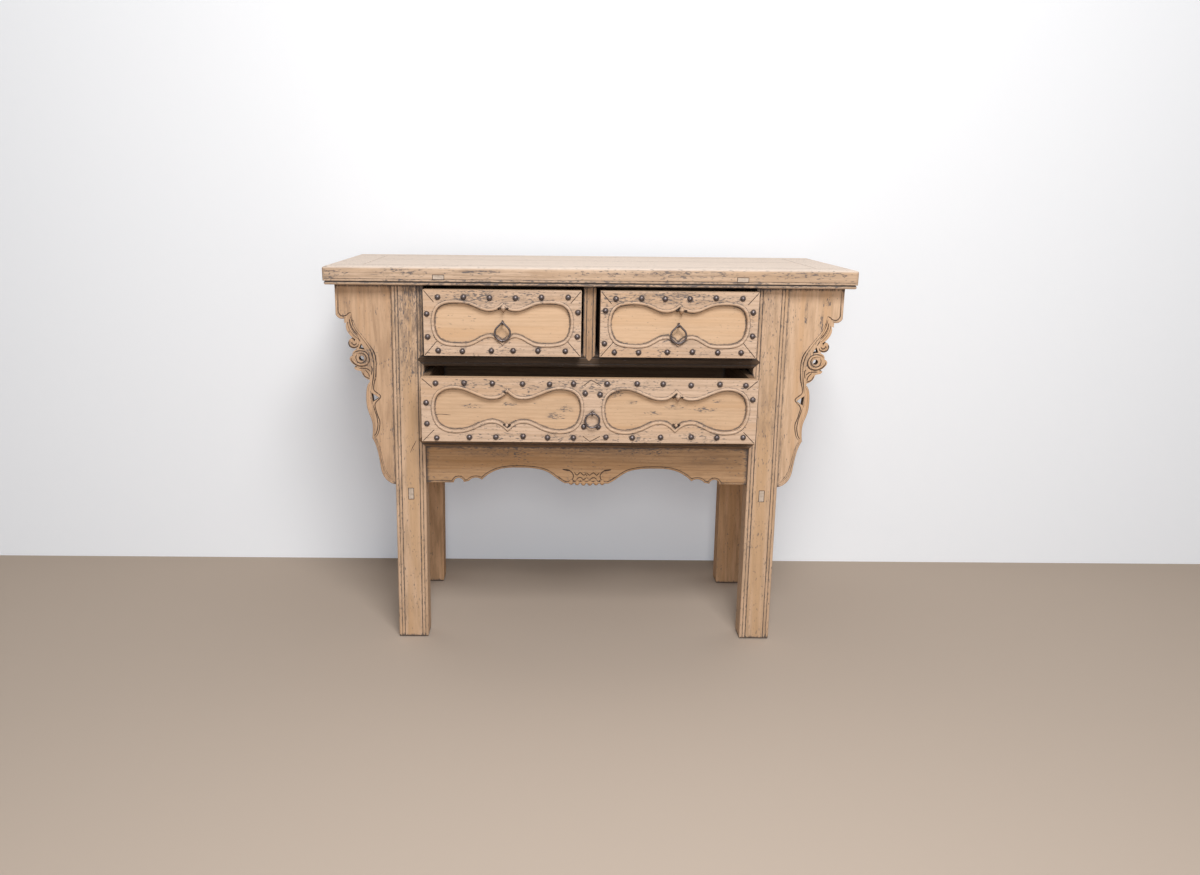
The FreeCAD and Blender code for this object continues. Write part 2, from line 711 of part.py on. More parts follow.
def bead_strip(side, line, centre, z0, z1):
    """A half-round bead along one half of an opening, mitred at the peak and at the cusp."""
    first = line.valueAt(line.FirstParameter)
    forward = Vector(0, -1, 0)
    outward = line.tangentAt(line.FirstParameter).cross(forward) * -side
    inner = first + outward * moulding_bead_quirk
    outer = inner + outward * moulding_bead_width
    crown = (inner + outer) / 2 + forward * moulding_bead_height
    section = Part.Wire([Part.Arc(inner, crown, outer).toShape(), Part.makeLine(outer, inner)])
    strip = Part.Wire(line).makePipeShell([section], True, False)
    far = centre + side * top_length
    return strip.common(box(min(centre, far), max(centre, far), first.y - overrun,
                            first.y + overrun, z0, z1))


def shaped_frame(x0, x1, z0, z1, y_face, openings):
    """A plate with shaped openings, and a half-round bead standing along each opening's edge."""
    plate = box(x0, x1, y_face, y_face + drawer_frame_thickness, z0, z1)
    strips = []
    for centre, half_span, shares in openings:
        edges = [opening_half(side, centre, half_span, z0, z1, shares, y_face - overrun)[1]
                 for side in (1, -1)]
        hole = Part.Face(Part.Wire(Part.__sortEdges__(edges)))
        plate = plate.cut(hole.extrude(Vector(0, drawer_frame_thickness + 2 * overrun, 0)))
        for side in (1, -1):
            line = opening_half(side, centre, half_span, z0, z1, shares, y_face)[0]
            strips.append(bead_strip(side, line, centre, z0, z1))
    for strip in strips:
        plate = plate.fuse(strip)
    return plate


def mitred_members(frame, x0, x1, z0, z1, y_face, stile):
    """The frame parted into mitred members, and a stile with pointed ends where there is one."""
    y0, y1 = y_face - 2 * overrun, y_face + drawer_frame_thickness + overrun
    half = (z1 - z0) / 2
    middle = (z0 + z1) / 2
    left_point, right_point = (x0 + half, middle), (x1 - half, middle)
    regions = [[(x0, z1), (x1, z1), right_point, left_point],
               [(x0, z0), (x1, z0), right_point, left_point],
               [(x0, z0), (x0, z1), left_point],
               [(x1, z0), (x1, z1), right_point]]
    members = []
    post = None
    if stile:
        centre = (x0 + x1) / 2 + stile_offset
        slim, wide = stile_tip_half_width, stile_reach
        tip = half - stile_tip_margin
        shoulder = tip - (wide - slim)
        outline = [(-slim, tip), (slim, tip), (wide, shoulder), (wide, -shoulder), (slim, -tip),
                   (-slim, -tip), (-wide, -shoulder), (-wide, shoulder)]
        post = elevation_prism([(centre + x, middle + z) for x, z in outline], y0, y1)
        members.append(frame.common(post))
    for corners in regions:
        member = frame.common(elevation_prism(corners, y0, y1))
        members.append(member.cut(post) if post else member)
    return members


# Nails and ring pulls

def nail(x, y, z):
    """A domed iron head with a square shank behind it."""
    sphere_radius = (nail_radius ** 2 + nail_height ** 2) / (2 * nail_height)
    ball = Part.makeSphere(sphere_radius, Vector(x, y + sphere_radius - nail_height, z))
    head = ball.common(box(x - nail_radius, x + nail_radius, y - nail_height, y,
                           z - nail_radius, z + nail_radius))
    return fuse(head, nail_pin(x, y, z))


def nail_pin(x, y, z):
    half = nail_shank / 2
    return box(x - half, x + half, y, y + nail_shank_length, z - half, z + half)


def ring_path(axis, radius, neck_radius, neck_drop):
    """A ring's centre line. With a neck it narrows towards the eye like a drop."""
    if neck_radius == 0:
        return Part.Wire(Part.makeCircle(radius, axis - Vector(0, 0, radius), Vector(0, 1, 0)))
    lean = math.asin((radius - neck_radius) / neck_drop)
    neck = axis - Vector(0, 0, neck_radius)
    belly = neck - Vector(0, 0, neck_drop)
    spread = Vector(math.cos(lean), 0, math.sin(lean))
    spread_left = Vector(-math.cos(lean), 0, math.sin(lean))
    right_neck, left_neck = neck + spread * neck_radius, neck + spread_left * neck_radius
    right_belly, left_belly = belly + spread * radius, belly + spread_left * radius
    low = belly - Vector(0, 0, radius)
    return Part.Wire([Part.Arc(left_neck, axis, right_neck).toShape(),
                      Part.makeLine(right_neck, right_belly),
                      Part.Arc(right_belly, low, left_belly).toShape(),
                      Part.makeLine(left_belly, left_neck)])


def pull_ring(axis, radius, neck_radius, neck_drop):
    if neck_radius == 0:
        centre = axis - Vector(0, 0, radius)
        return Part.makeTorus(radius, ring_wire_radius, centre, Vector(0, 1, 0))
    path = ring_path(axis, radius, neck_radius, neck_drop)
    edge = path.Edges[0]
    start = edge.valueAt(edge.FirstParameter)
    section = Part.Wire(Part.makeCircle(ring_wire_radius, start, edge.tangentAt(edge.FirstParameter)))
    return path.makePipeShell([section], True, True)


def pull_shank(axis, back):
    """The stem of the eye through the drawer front."""
    start = Vector(axis.x, axis.y + eye_radius, axis.z + eye_lift)
    return Part.makeCylinder(shank_radius, back - start.y, start, Vector(0, 1, 0))


def pull_eye(axis, back):
    """An iron eye that the ring hangs in, its stem clinched on the inside of the drawer front."""
    loop = Part.makeTorus(eye_radius, eye_wire_radius, axis + Vector(0, 0, eye_lift), Vector(1, 0, 0))
    half, high = clinch_length / 2, clinch_width / 2
    z = axis.z + eye_lift
    clinch = box(axis.x - half, axis.x + half, back, back + clinch_thickness, z - high, z + high)
    return fuse(loop, pull_shank(axis, back), clinch)


# Drawers

def drawer(name, x0, x1, z0, z1, pull, fittings):
    """One drawer: shaped moulding, front, sides, back, bottom, nails, eye and ring."""
    y_face = leg_face - pull
    y_front = y_face + drawer_frame_thickness
    y_inside = y_front + drawer_front_thickness
    y_end = back_panel_y - drawer_back_room - pull
    y_back = y_end - drawer_back_thickness
    side_top = z1 - drawer_side_drop
    bottom_z0 = z0 + drawer_bottom_rise
    bottom_z1 = bottom_z0 + drawer_bottom_thickness
    inner_x0, inner_x1 = x0 + drawer_side_thickness, x1 - drawer_side_thickness
    width, height = x1 - x0, z1 - z0

    left = box(x0, inner_x0, y_inside - drawer_lap, y_end, z0, side_top)
    right = box(inner_x1, x1, y_inside - drawer_lap, y_end, z0, side_top)
    bottom = box(inner_x0 - drawer_groove_depth, inner_x1 + drawer_groove_depth,
                 y_inside - drawer_groove_depth, y_end, bottom_z0, bottom_z1)
    front = box(x0, x1, y_front, y_inside, z0, z1).cut(left).cut(right).cut(bottom)
    left = left.cut(bottom)
    right = right.cut(bottom)
    back = box(inner_x0, inner_x1, y_back, y_end, bottom_z1, side_top)

    frame = shaped_frame(x0, x1, z0, z1, y_face, fittings["openings"])
    members = mitred_members(frame, x0, x1, z0, z1, y_face, fittings["stile"])
    spots = [(x0 + width * a, z1 - height * v) for a, v in fittings["nail_shares"]]
    pins = [nail_pin(x, y_face, z) for x, z in spots]

    eye_a, eye_v = fittings["eye_shares"]
    axis = Vector(x0 + width * eye_a, y_face - fittings["ring_reach"], z1 - height * eye_v)
    stem = pull_shank(axis, y_inside)
    members = [member.cut(pins + [stem]) for member in members]
    front = front.cut(stem)

    nodes[name + "_front"] = front
    nodes[name + "_moulding"] = Part.makeCompound(members)
    nodes[name + "_side_left"] = left
    nodes[name + "_side_right"] = right
    nodes[name + "_back"] = back
    nodes[name + "_bottom"] = bottom
    nodes[name + "_nails"] = Part.makeCompound([nail(x, y_face, z) for x, z in spots])
    nodes[name + "_eye"] = pull_eye(axis, y_inside)
    nodes[name + "_ring"] = pull_ring(axis, *fittings["ring"])
    print(name, "x", x0, x1, "z", z0, z1, "face y", y_face, "inside y", y_inside, y_back,
          "floor z", bottom_z1, "side top", side_top, "ring axis", tuple(axis))


def build_drawers():
    outer, inner = leg_inner(under_top), post_width / 2
    middle = (outer + inner) / 2
    half = (outer - inner) / 2 - small_drawer_side_room
    z0 = mid_rail_top + drawer_running_gap
    z1 = under_top - small_drawer_headroom
    places = (("drawer_left", left_drawer_offset - middle, left_nail_shares, left_eye_shares),
              ("drawer_right", right_drawer_offset + middle, right_nail_shares, right_eye_shares))
    for name, centre, nail_shares, eye_shares in places:
        fittings = {"openings": [(centre, half * small_span_share, small_opening_shares)],
                    "stile": False, "nail_shares": nail_shares, "eye_shares": eye_shares,
                    "ring_reach": small_ring_reach,
                    "ring": (ring_radius, ring_neck_radius, ring_neck_drop)}
        drawer(name, centre - half, centre + half, z0, z1, small_drawer_pull, fittings)
    z0 = bottom_rail_top + drawer_running_gap
    z1 = mid_rail_foot - wide_drawer_headroom
    half = leg_inner(mid_rail_foot) - wide_drawer_side_room
    openings = [(half * centre_share, half * span_share, wide_opening_shares)
                for centre_share, span_share in zip(wide_centre_shares, wide_span_shares)]
    fittings = {"openings": openings, "stile": True, "nail_shares": wide_nail_shares,
                "eye_shares": wide_eye_shares, "ring_reach": wide_ring_reach,
                "ring": (wide_ring_radius, 0, 0)}
    drawer("drawer_wide", -half, half, z0, z1, wide_drawer_pull, fittings)


def floor_shift():
    """How far back the model moves so that the origin is the middle of the floor it covers."""
    front_reach = -leg_face + wide_drawer_pull + wide_ring_reach + eye_radius + eye_wire_radius
    return (front_reach - top_depth / 2) / 2


build_top()
build_front()
nodes["back_panel"] = back_panel()
nodes["back_rail"] = back_rail()
build_sides_and_legs()
build_runners()
build_drawers()

shift = Vector(0, floor_shift(), 0)
print("shift", shift.y)
for node_name, node_shape in nodes.items():
    node_shape.translate(shift)
    node_shape.exportStep("parts/" + node_name + ".step")
    print(node_name, len(node_shape.Solids), round(node_shape.Volume / 1000.0, 1), node_shape.isValid())
print(len(nodes), "nodes")
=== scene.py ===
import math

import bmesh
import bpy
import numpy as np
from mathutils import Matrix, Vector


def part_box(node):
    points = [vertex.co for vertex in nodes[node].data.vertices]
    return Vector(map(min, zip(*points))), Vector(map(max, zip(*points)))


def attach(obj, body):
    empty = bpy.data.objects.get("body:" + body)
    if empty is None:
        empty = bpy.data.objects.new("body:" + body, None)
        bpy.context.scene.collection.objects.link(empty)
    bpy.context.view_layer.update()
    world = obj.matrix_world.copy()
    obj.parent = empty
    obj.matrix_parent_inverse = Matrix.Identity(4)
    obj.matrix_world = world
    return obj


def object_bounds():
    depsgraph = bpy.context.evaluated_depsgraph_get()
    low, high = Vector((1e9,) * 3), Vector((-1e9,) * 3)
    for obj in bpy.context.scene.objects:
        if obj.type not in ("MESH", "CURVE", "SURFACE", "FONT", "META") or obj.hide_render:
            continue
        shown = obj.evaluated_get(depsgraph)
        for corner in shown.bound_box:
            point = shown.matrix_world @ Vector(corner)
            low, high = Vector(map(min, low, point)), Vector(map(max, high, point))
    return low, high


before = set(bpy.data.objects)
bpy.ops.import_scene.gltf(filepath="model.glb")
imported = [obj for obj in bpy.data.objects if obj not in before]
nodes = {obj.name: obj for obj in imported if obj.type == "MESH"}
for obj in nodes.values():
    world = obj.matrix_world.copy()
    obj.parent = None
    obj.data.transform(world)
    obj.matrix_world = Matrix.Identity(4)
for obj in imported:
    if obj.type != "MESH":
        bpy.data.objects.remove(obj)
cad_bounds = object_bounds()

# %% [markdown]
# An old altar table of bleached elm
# The frame that was just loaded holds every solid piece of the table: boards, legs, drawers and iron. This
# lesson adds what a solid model lacks: the carving on the wings and the apron, the little ornaments of the
# drawer mouldings, and finishes with grain, residue and wear, with some painted shade and painted highlights
# among them.
# All lengths are in metres. X runs to the right, Y to the back and Z up, as in the solids.

MM = 0.001
SIDES = {"left": -1, "right": 1}
print(len(nodes), "solid pieces; box", [[round(c, 3) for c in corner] for corner in cad_bounds])

# %% [markdown]
# Where things are
# Every place below is worked out from the boxes of the solid pieces, so the new pieces stay on
# the table when one of its sizes changes. The legs lean outwards a little, which matters for the
# wings: their carving is measured from the leaning line where wing and leg meet, in shares of
# the wing's width and drop.

# %% Places
WING_TOP_SHARE = 0.99
LEG_IN_TOP = 20 * MM
top_low, top_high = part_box("top_front_rail")
under_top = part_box("leg_rear_left")[1].z - LEG_IN_TOP
leg_foot_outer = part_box("leg_front_right")[1].x
leg_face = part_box("leg_front_right")[0].y
leg_lean = 7.5 * MM
wing_low, wing_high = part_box("wing_front_right")
wing_drop = under_top - wing_low.z
apron_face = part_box("apron")[0].y
apron_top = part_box("bottom_rail")[0].z
apron_height = 89 * MM
apron_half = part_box("leg_front_right")[0].x


def leg_line(z):
    """The leaning outer face of a leg: its foot's distance less the lean's share of the height."""
    return leg_foot_outer - leg_lean * z / under_top


wing_width = (wing_high.x - leg_line(under_top)) / WING_TOP_SHARE
print("under the top", round(under_top, 4), "wing", round(wing_width, 4), round(wing_drop, 4))

# %% [markdown]
# The view
# The photograph was taken from a little left of the middle, from just above the table's height,
# with the camera tipped down sixteen degrees. The principal point lies off the picture's middle,
# so the lens is shifted a little, as on a view camera.

# %% Camera
LENS = 31.088
SENSOR_WIDTH = 36
CAMERA_AHEAD = 2294.17 * MM
CAMERA_PLACE = (-85.1 * MM, top_low.y - CAMERA_AHEAD, 1032.42 * MM)
PITCH = 0.277914
YAW = 0.0073231
ROLL = -0.0097986
SHIFT = (0.03553, 0.04430)


def camera_frame(pitch, yaw, roll):
    """Right, up and back directions: forward from yaw and pitch, then right and up turned by roll."""
    forward = Vector((math.sin(yaw) * math.cos(pitch), math.cos(yaw) * math.cos(pitch), -math.sin(pitch)))
    level = Vector((math.cos(yaw), -math.sin(yaw), 0))
    down = forward.cross(level)
    right = level * math.cos(roll) + down * math.sin(roll)
    up = level * math.sin(roll) - down * math.cos(roll)
    return right, up, -forward


camera_data = bpy.data.cameras.new("camera")
camera_data.lens = LENS
camera_data.sensor_width = SENSOR_WIDTH
camera_data.shift_x, camera_data.shift_y = SHIFT
camera = bpy.data.objects.new("camera", camera_data)
turn = Matrix(camera_frame(PITCH, YAW, ROLL)).transposed().to_4x4()
camera.matrix_world = Matrix.Translation(CAMERA_PLACE) @ turn
bpy.context.scene.collection.objects.link(camera)
bpy.context.scene.camera = camera
print("camera at", [round(c, 3) for c in CAMERA_PLACE])

# %% [markdown]
# Helpers for finishes
# A finish is a small network of shader nodes. These helpers keep the networks short: one adds a
# node and joins its inputs, and the others add arithmetic, a soft threshold, noise, a mix and
# the shader at the end. The mix node numbers its colour sockets, so their numbers have names.

# %% Node helpers
MIX_AMOUNT, MIX_UNDER, MIX_OVER, MIX_RESULT = 0, 6, 7, 2
OPAQUE = 1.0
MATTE = (("Roughness", 0.9), ("Specular IOR Level", 0.1))


def add(tree, kind, inputs=(), **settings):
    """Adds a node; each input is a socket and a plain value, a colour or another node's output."""
    made = tree.nodes.new(kind)
    for key, value in settings.items():
        setattr(made, key, value)
    for socket, value in inputs:
        if isinstance(value, bpy.types.NodeSocket):
            tree.links.new(value, made.inputs[socket])
        elif made.inputs[socket].type == "RGBA":
            made.inputs[socket].default_value = (*value, OPAQUE)
        else:
            made.inputs[socket].default_value = value
    return made


def math_node(tree, operation, *values):
    """One step of arithmetic on varying values."""
    return add(tree, "ShaderNodeMath", enumerate(values), operation=operation).outputs[0]


def times(tree, value, factor):
    """A product of two values, each of which may vary."""
    return math_node(tree, "MULTIPLY", value, factor)


def total(tree, *shares):
    """A weighted sum of varying values, each given with its weight."""
    result = 0.0
    for value, weight in shares:
        result = math_node(tree, "MULTIPLY_ADD", value, weight, result)
    return result


def step(tree, value, low, high, start=0.0, end=1.0):
    """A smooth step from start at low to end at high; low may be the larger of the two."""
    return add(tree, "ShaderNodeMapRange",
               [("Value", value), ("From Min", low), ("From Max", high), ("To Min", start),
                ("To Max", end)], interpolation_type="SMOOTHSTEP").outputs[0]


def noise(tree, coordinates, scale, detail=4.0, roughness=0.55):
    """Fractal noise, about 0.5 on average."""
    return add(tree, "ShaderNodeTexNoise",
               [("Vector", coordinates), ("Scale", scale), ("Detail", detail),
                ("Roughness", roughness)]).outputs["Fac"]


def blend(tree, amount, under, over):
    """Mixes one colour over another by a varying amount."""
    made = add(tree, "ShaderNodeMix", [(MIX_AMOUNT, amount), (MIX_UNDER, under), (MIX_OVER, over)],
               data_type="RGBA")
    return made.outputs[MIX_RESULT]


def new_material(name):
    """An empty material and its node tree."""
    material = bpy.data.materials.new(name)
    material.use_nodes = True
    material.node_tree.nodes.clear()
    return material, material.node_tree


def principled(tree, *inputs):
    """Ends a network with a principled shader that has these inputs."""
    shader = add(tree, "ShaderNodeBsdfPrincipled", inputs)
    add(tree, "ShaderNodeOutputMaterial", [(0, shader.outputs[0])])


print("helpers for finishes ready")

# %% [markdown]
# Where the wear gathers
# Marks aren't spread evenly on an old table: knocks gather round the nails, on the corner of the
# top and high on the left leg. A patch is a soft ellipsoid in space, full in its middle and gone
# at its reach, and where a patch lies more of the noise turns into marks, by the patch's weight.

# %% Patches
PATCH_CORE = 0.3


def patch_mask(tree, place, patches):
    """The largest of the patches: each has a weight and falls with the distance in its own reaches."""
    mask = 0.0
    for middle, reach, weight in patches:
        moved = add(tree, "ShaderNodeMapping",
                    [("Vector", place), ("Location", middle), ("Scale", reach)], vector_type="TEXTURE")
        away = add(tree, "ShaderNodeVectorMath", [(0, moved.outputs[0])], operation="LENGTH")
        soft = step(tree, away.outputs["Value"], PATCH_CORE, 1.0, weight, 0.0)
        mask = math_node(tree, "MAXIMUM", mask, soft)
    return mask


print("a patch keeps its full weight over", PATCH_CORE, "of its reach")

# %% [markdown]
# Bleached elm
# The old lacquer of this table was stripped and the wood scrubbed, so it is dry and pale. Fine fibres run
# along each board, arched growth lines lie under them, warm streaks cross the figure, and dark residue stays
# where a brush can't reach: in grooves, beside beads, round nails; painted shade darkens the same places.
# The fibres are noise squeezed across the grain, and the growth lines are bent rings round a far axis. Faces
# that look up are paler and pinker, partly because they were scrubbed most and partly as painted light from
# the lamp above.

# %% Grain
SQUEEZE = 18.0
SHORT_SQUEEZE = 3.6
DIRECTIONS = "xyz"
SCALES = dict(fibres=52.0, streaks=9.0, rings=2.1, clouds=1.4, flecks=100.0, regions=17.0, stains=30.0,
              dashes=42.0)
STEPS = dict(rings=(0.35, 1.0), tone=(0.34, 0.66), clouds=(0.47, 0.68), bleached_and_lit=(0.3, 0.65),
             facing_up=(0.35, 0.9), near=(0.04, 0.30), marks=(0.75, 0.80), stains=(0.38, 0.62),
             arris=(0.985, 0.90), in_the_open=(0.30, 0.05), dirt_and_shade=(0.66, 0.88))
COVERS = dict(warm=0.7, marks=0.88, rubbed_and_highlit=0.6, dirt_and_shade=0.85)
STREAK_SHADE = 0.82
# How much paler free arrises are painted: worn wood and a painted highlight together.
RUBBED_AND_HIGHLIT_FACTOR = 1.2


def grain_coordinates(tree, place, along, squeeze, offset):
    """Object coordinates squeezed across the grain, with an offset that makes each board its own."""
    scale = [1.0 if direction == along else squeeze for direction in DIRECTIONS]
    squeezed = add(tree, "ShaderNodeMapping", [("Vector", place), ("Location", offset), ("Scale", scale)])
    return squeezed.outputs[0]


def shaded(colour, factor):
    """A colour made lighter or darker by a factor."""
    return tuple(factor * channel for channel in colour)


def wood_colour(tree, run, pale, deep, warm):
    """Fibres, streaks and growth lines between a deep and a pale tone, with warm clouds."""
    fibres = noise(tree, run, SCALES["fibres"], detail=4.0, roughness=0.6)
    streaks = noise(tree, run, SCALES["streaks"], detail=5.0, roughness=0.62)
    growth = add(tree, "ShaderNodeTexWave",
                 [("Vector", run), ("Scale", SCALES["rings"]), ("Distortion", 6.5), ("Detail", 2.0),
                  ("Detail Scale", 1.1), ("Detail Roughness", 0.5)],
                 wave_type="RINGS", rings_direction="SPHERICAL").outputs["Fac"]
    growth = step(tree, growth, *STEPS["rings"])
    tone = total(tree, (fibres, 0.48), (streaks, 0.62), (growth, -0.10))
    colour = blend(tree, step(tree, tone, *STEPS["tone"]), deep, pale)
    clouds = step(tree, noise(tree, run, SCALES["clouds"], detail=3.0, roughness=0.6), *STEPS["clouds"])
    colour = blend(tree, times(tree, clouds, COVERS["warm"]), colour, warm)
    return colour, fibres, growth


def scrubbed_and_lit_faces(tree, colour, fibres, normal, scrubbed_and_lit):
    """Bleached wood with fainter fibres on the faces that look up, paler partly from scrubbing and partly as
    painted light from above.
    """
    facing_up = add(tree, "ShaderNodeSeparateXYZ", [(0, normal)]).outputs[2]
    bleached_and_lit = blend(tree, step(tree, fibres, *STEPS["bleached_and_lit"]), shaded(scrubbed_and_lit, STREAK_SHADE),
                     scrubbed_and_lit)
    # Faces that look up take the paler colour: partly scrubbing, partly painted light from above.
    return blend(tree, step(tree, facing_up, *STEPS["facing_up"]), colour, bleached_and_lit)


print(len(SCALES), "scales of noise in the wood")

# %% [markdown]
# Wear and painted light over the grain
# Four layers lie over the grain, wear and painted light together. Soft brown stains and short dark marks
# thicken in the patches. Arrises that stand free are made paler, partly rubbed wear and partly a painted
# highlight, and the same rounded normals soften them. Residue comes last, partly dirt and partly painted
# shade: it follows how enclosed a point is, broken up by short noise, so that it reads as dashes and not as
# a drawn line.

# %% Elm
MARK = (0.135, 0.118, 0.115)
# The colour of nooks: dark residue, and painted shade in the same enclosed places.
RESIDUE_AND_SHADE = (0.110, 0.090, 0.082)
GRIME = (0.235, 0.165, 0.120)
ROUNDED = 1.3 * MM
RELIEF = 0.6 * MM


def stains_and_marks(tree, colour, place, short, hidden, marks, patches, stain):
    """Stains in the patches, and marks where noise, region, nearness of a nook and patches add up."""
    flecks = noise(tree, short, SCALES["flecks"], detail=3.0, roughness=0.65)
    regions = noise(tree, place, SCALES["regions"], detail=2.0)
    near = step(tree, hidden, *STEPS["near"])
    patched = patch_mask(tree, place, patches)
    score = total(tree, (flecks, 1.0), (regions, 0.25), (near, 0.14), (marks, 1.0), (patched, 1.0))
    marked = step(tree, score, *STEPS["marks"])
    cloudy = step(tree, noise(tree, short, SCALES["stains"], detail=5.0, roughness=0.7), *STEPS["stains"])
    colour = blend(tree, times(tree, cloudy, times(tree, patched, stain)), colour, GRIME)
    return blend(tree, times(tree, marked, COVERS["marks"]), colour, MARK), marked


def worn_and_highlit_arrises(tree, colour, hidden, normal, pale):
    """Paler wood where the rounded normal turns from the face's own, away from nooks: worn arrises and a
    painted highlight.
    """
    rounded = add(tree, "ShaderNodeBevel", [("Radius", ROUNDED)], samples=6).outputs[0]
    level_with = add(tree, "ShaderNodeVectorMath", [(0, normal), (1, rounded)], operation="DOT_PRODUCT")
    arris = step(tree, level_with.outputs["Value"], *STEPS["arris"])
    # Free arrises painted paler: partly wear, partly a painted highlight.
    rubbed_and_highlit = times(tree, arris, step(tree, hidden, *STEPS["in_the_open"]))
    rubbed_and_highlit = times(tree, rubbed_and_highlit, COVERS["rubbed_and_highlit"])
    return blend(tree, rubbed_and_highlit, colour, shaded(pale, RUBBED_AND_HIGHLIT_FACTOR)), rounded


def elm(name, along, offset, pale, deep, warm, scrubbed_and_lit=None, marks=0.0, patches=(), shelter=12 * MM,
        stain=4.0):
    """Grain, then stains and marks, paler arrises from wear and a painted highlight, and residue with
    painted shade in every nook.
    """
    material, tree = new_material(name)
    place = add(tree, "ShaderNodeTexCoord").outputs["Object"]
    run = grain_coordinates(tree, place, along, SQUEEZE, offset)
    short = grain_coordinates(tree, place, along, SHORT_SQUEEZE, offset)
    colour, fibres, growth = wood_colour(tree, run, pale, deep, warm)
    normal = add(tree, "ShaderNodeNewGeometry").outputs["Normal"]
    if scrubbed_and_lit:
        colour = scrubbed_and_lit_faces(tree, colour, fibres, normal, scrubbed_and_lit)
    open_sky = add(tree, "ShaderNodeAmbientOcclusion", [("Distance", shelter)], samples=8).outputs["AO"]
    hidden = math_node(tree, "SUBTRACT", 1.0, open_sky)
    colour, marked = stains_and_marks(tree, colour, place, short, hidden, marks, patches, stain)
    colour, rounded = worn_and_highlit_arrises(tree, colour, hidden, normal, pale)
    # Residue and painted shade: the more enclosed a point is, the darker its colour is painted.
    dashes = noise(tree, short, SCALES["dashes"], detail=4.0, roughness=0.75)
    dirt_and_shade = step(tree, total(tree, (hidden, 1.0), (dashes, 1.0)), *STEPS["dirt_and_shade"])
    colour = blend(tree, times(tree, dirt_and_shade, COVERS["dirt_and_shade"]), colour, RESIDUE_AND_SHADE)
    relief = total(tree, (fibres, 0.5), (growth, -0.25), (marked, -0.8))
    bump = add(tree, "ShaderNodeBump",
               [("Strength", 0.45), ("Distance", RELIEF), ("Height", relief), ("Normal", rounded)])
    principled(tree, ("Base Color", colour), ("Normal", bump.outputs[0]), ("Roughness", 0.74),
               ("Specular IOR Level", 0.25))
    return material


print("elm ready")

# %% [markdown]
# Tones of the boards
# No two boards of an old table have quite the same tone, and here the drawer fronts are the palest. The
# rails between the drawers are the darkest, and that darkness is painted shade for the shadow the drawers
# cast on them. Each finish has a pale, a deep and a warm tone.
# The patches say where knocks and stains gather: along the edge of the top, high on the left leg, under the
# bottom rail and on the wings. Each is a middle, a reach in X, Y and Z, a weight. The stains under the
# bottom rail are partly painted shade, for the shadow of the wide drawer on the apron.

# %% Tones
# The colours of faces that look up: pale scrubbed wood, painted paler still as light falling from above.
SCRUBBED_AND_LIT = (0.80, 0.672, 0.575)
SCRUBBED_AND_LIT_END = (0.80, 0.675, 0.58)
TONES = {
    "top": ((0.63, 0.455, 0.325), (0.43, 0.295, 0.20), (0.52, 0.35, 0.225)),
    "leg": ((0.65, 0.445, 0.30), (0.46, 0.31, 0.20), (0.55, 0.345, 0.19)),
    "wing": ((0.675, 0.465, 0.31), (0.52, 0.345, 0.22), (0.60, 0.365, 0.20)),
    # The left wing's tones are darker than the right wing's.
    "wing_left": ((0.585, 0.385, 0.245), (0.43, 0.275, 0.17), (0.53, 0.31, 0.165)),
    "moulding": ((0.665, 0.48, 0.35), (0.50, 0.35, 0.245), (0.58, 0.375, 0.23)),
    "panel": ((0.68, 0.465, 0.30), (0.60, 0.405, 0.255), (0.61, 0.385, 0.22)),
    "panel_wide": ((0.63, 0.43, 0.275), (0.54, 0.36, 0.225), (0.55, 0.34, 0.19)),
    "apron": ((0.56, 0.35, 0.20), (0.40, 0.24, 0.13), (0.46, 0.25, 0.11)),
    # The two rail tones are painted shade: far darker than the wood, for the shadow the drawers cast on the
    # rails.
    "rail": ((0.10, 0.062, 0.038), (0.05, 0.032, 0.02), (0.075, 0.042, 0.024)),
    "rail_low": ((0.25, 0.15, 0.085), (0.12, 0.07, 0.042), (0.19, 0.105, 0.052)),
    "rear": ((0.64, 0.40, 0.24), (0.42, 0.255, 0.145), (0.52, 0.30, 0.15)),
    "side": ((0.50, 0.32, 0.195), (0.34, 0.21, 0.125), (0.41, 0.24, 0.125)),
    "inner": ((0.27, 0.175, 0.11), (0.16, 0.10, 0.062), (0.20, 0.115, 0.065)),
    "tenon": ((0.60, 0.49, 0.40), (0.44, 0.35, 0.28), (0.50, 0.39, 0.30)),
}
TOP_PATCHES = [((-0.555, top_low.y, 0.866), (0.06, 0.02, 0.02), 0.07),
               ((-0.430, top_low.y, 0.868), (0.08, 0.02, 0.014), 0.08),
               ((-0.250, top_low.y, 0.870), (0.07, 0.02, 0.006), 0.14),
               ((0.160, top_low.y, 0.869), (0.24, 0.02, 0.012), 0.09),
               ((0.460, top_low.y, 0.870), (0.13, 0.02, 0.012), 0.09),
               ((0.0, top_low.y, 0.846), (0.9, 0.03, 0.011), 0.10)]
LEG_PATCHES = [((-0.400, leg_face, 0.775), (0.055, 0.02, 0.095), 0.075),
               ((-0.395, leg_face, 0.680), (0.050, 0.02, 0.075), 0.065),
               ((-0.385, leg_face, 0.826), (0.055, 0.02, 0.026), 0.10),
               ((0.395, leg_face, 0.800), (0.030, 0.02, 0.060), 0.035),
               ((0.410, leg_face, 0.560), (0.030, 0.02, 0.120), 0.03)]
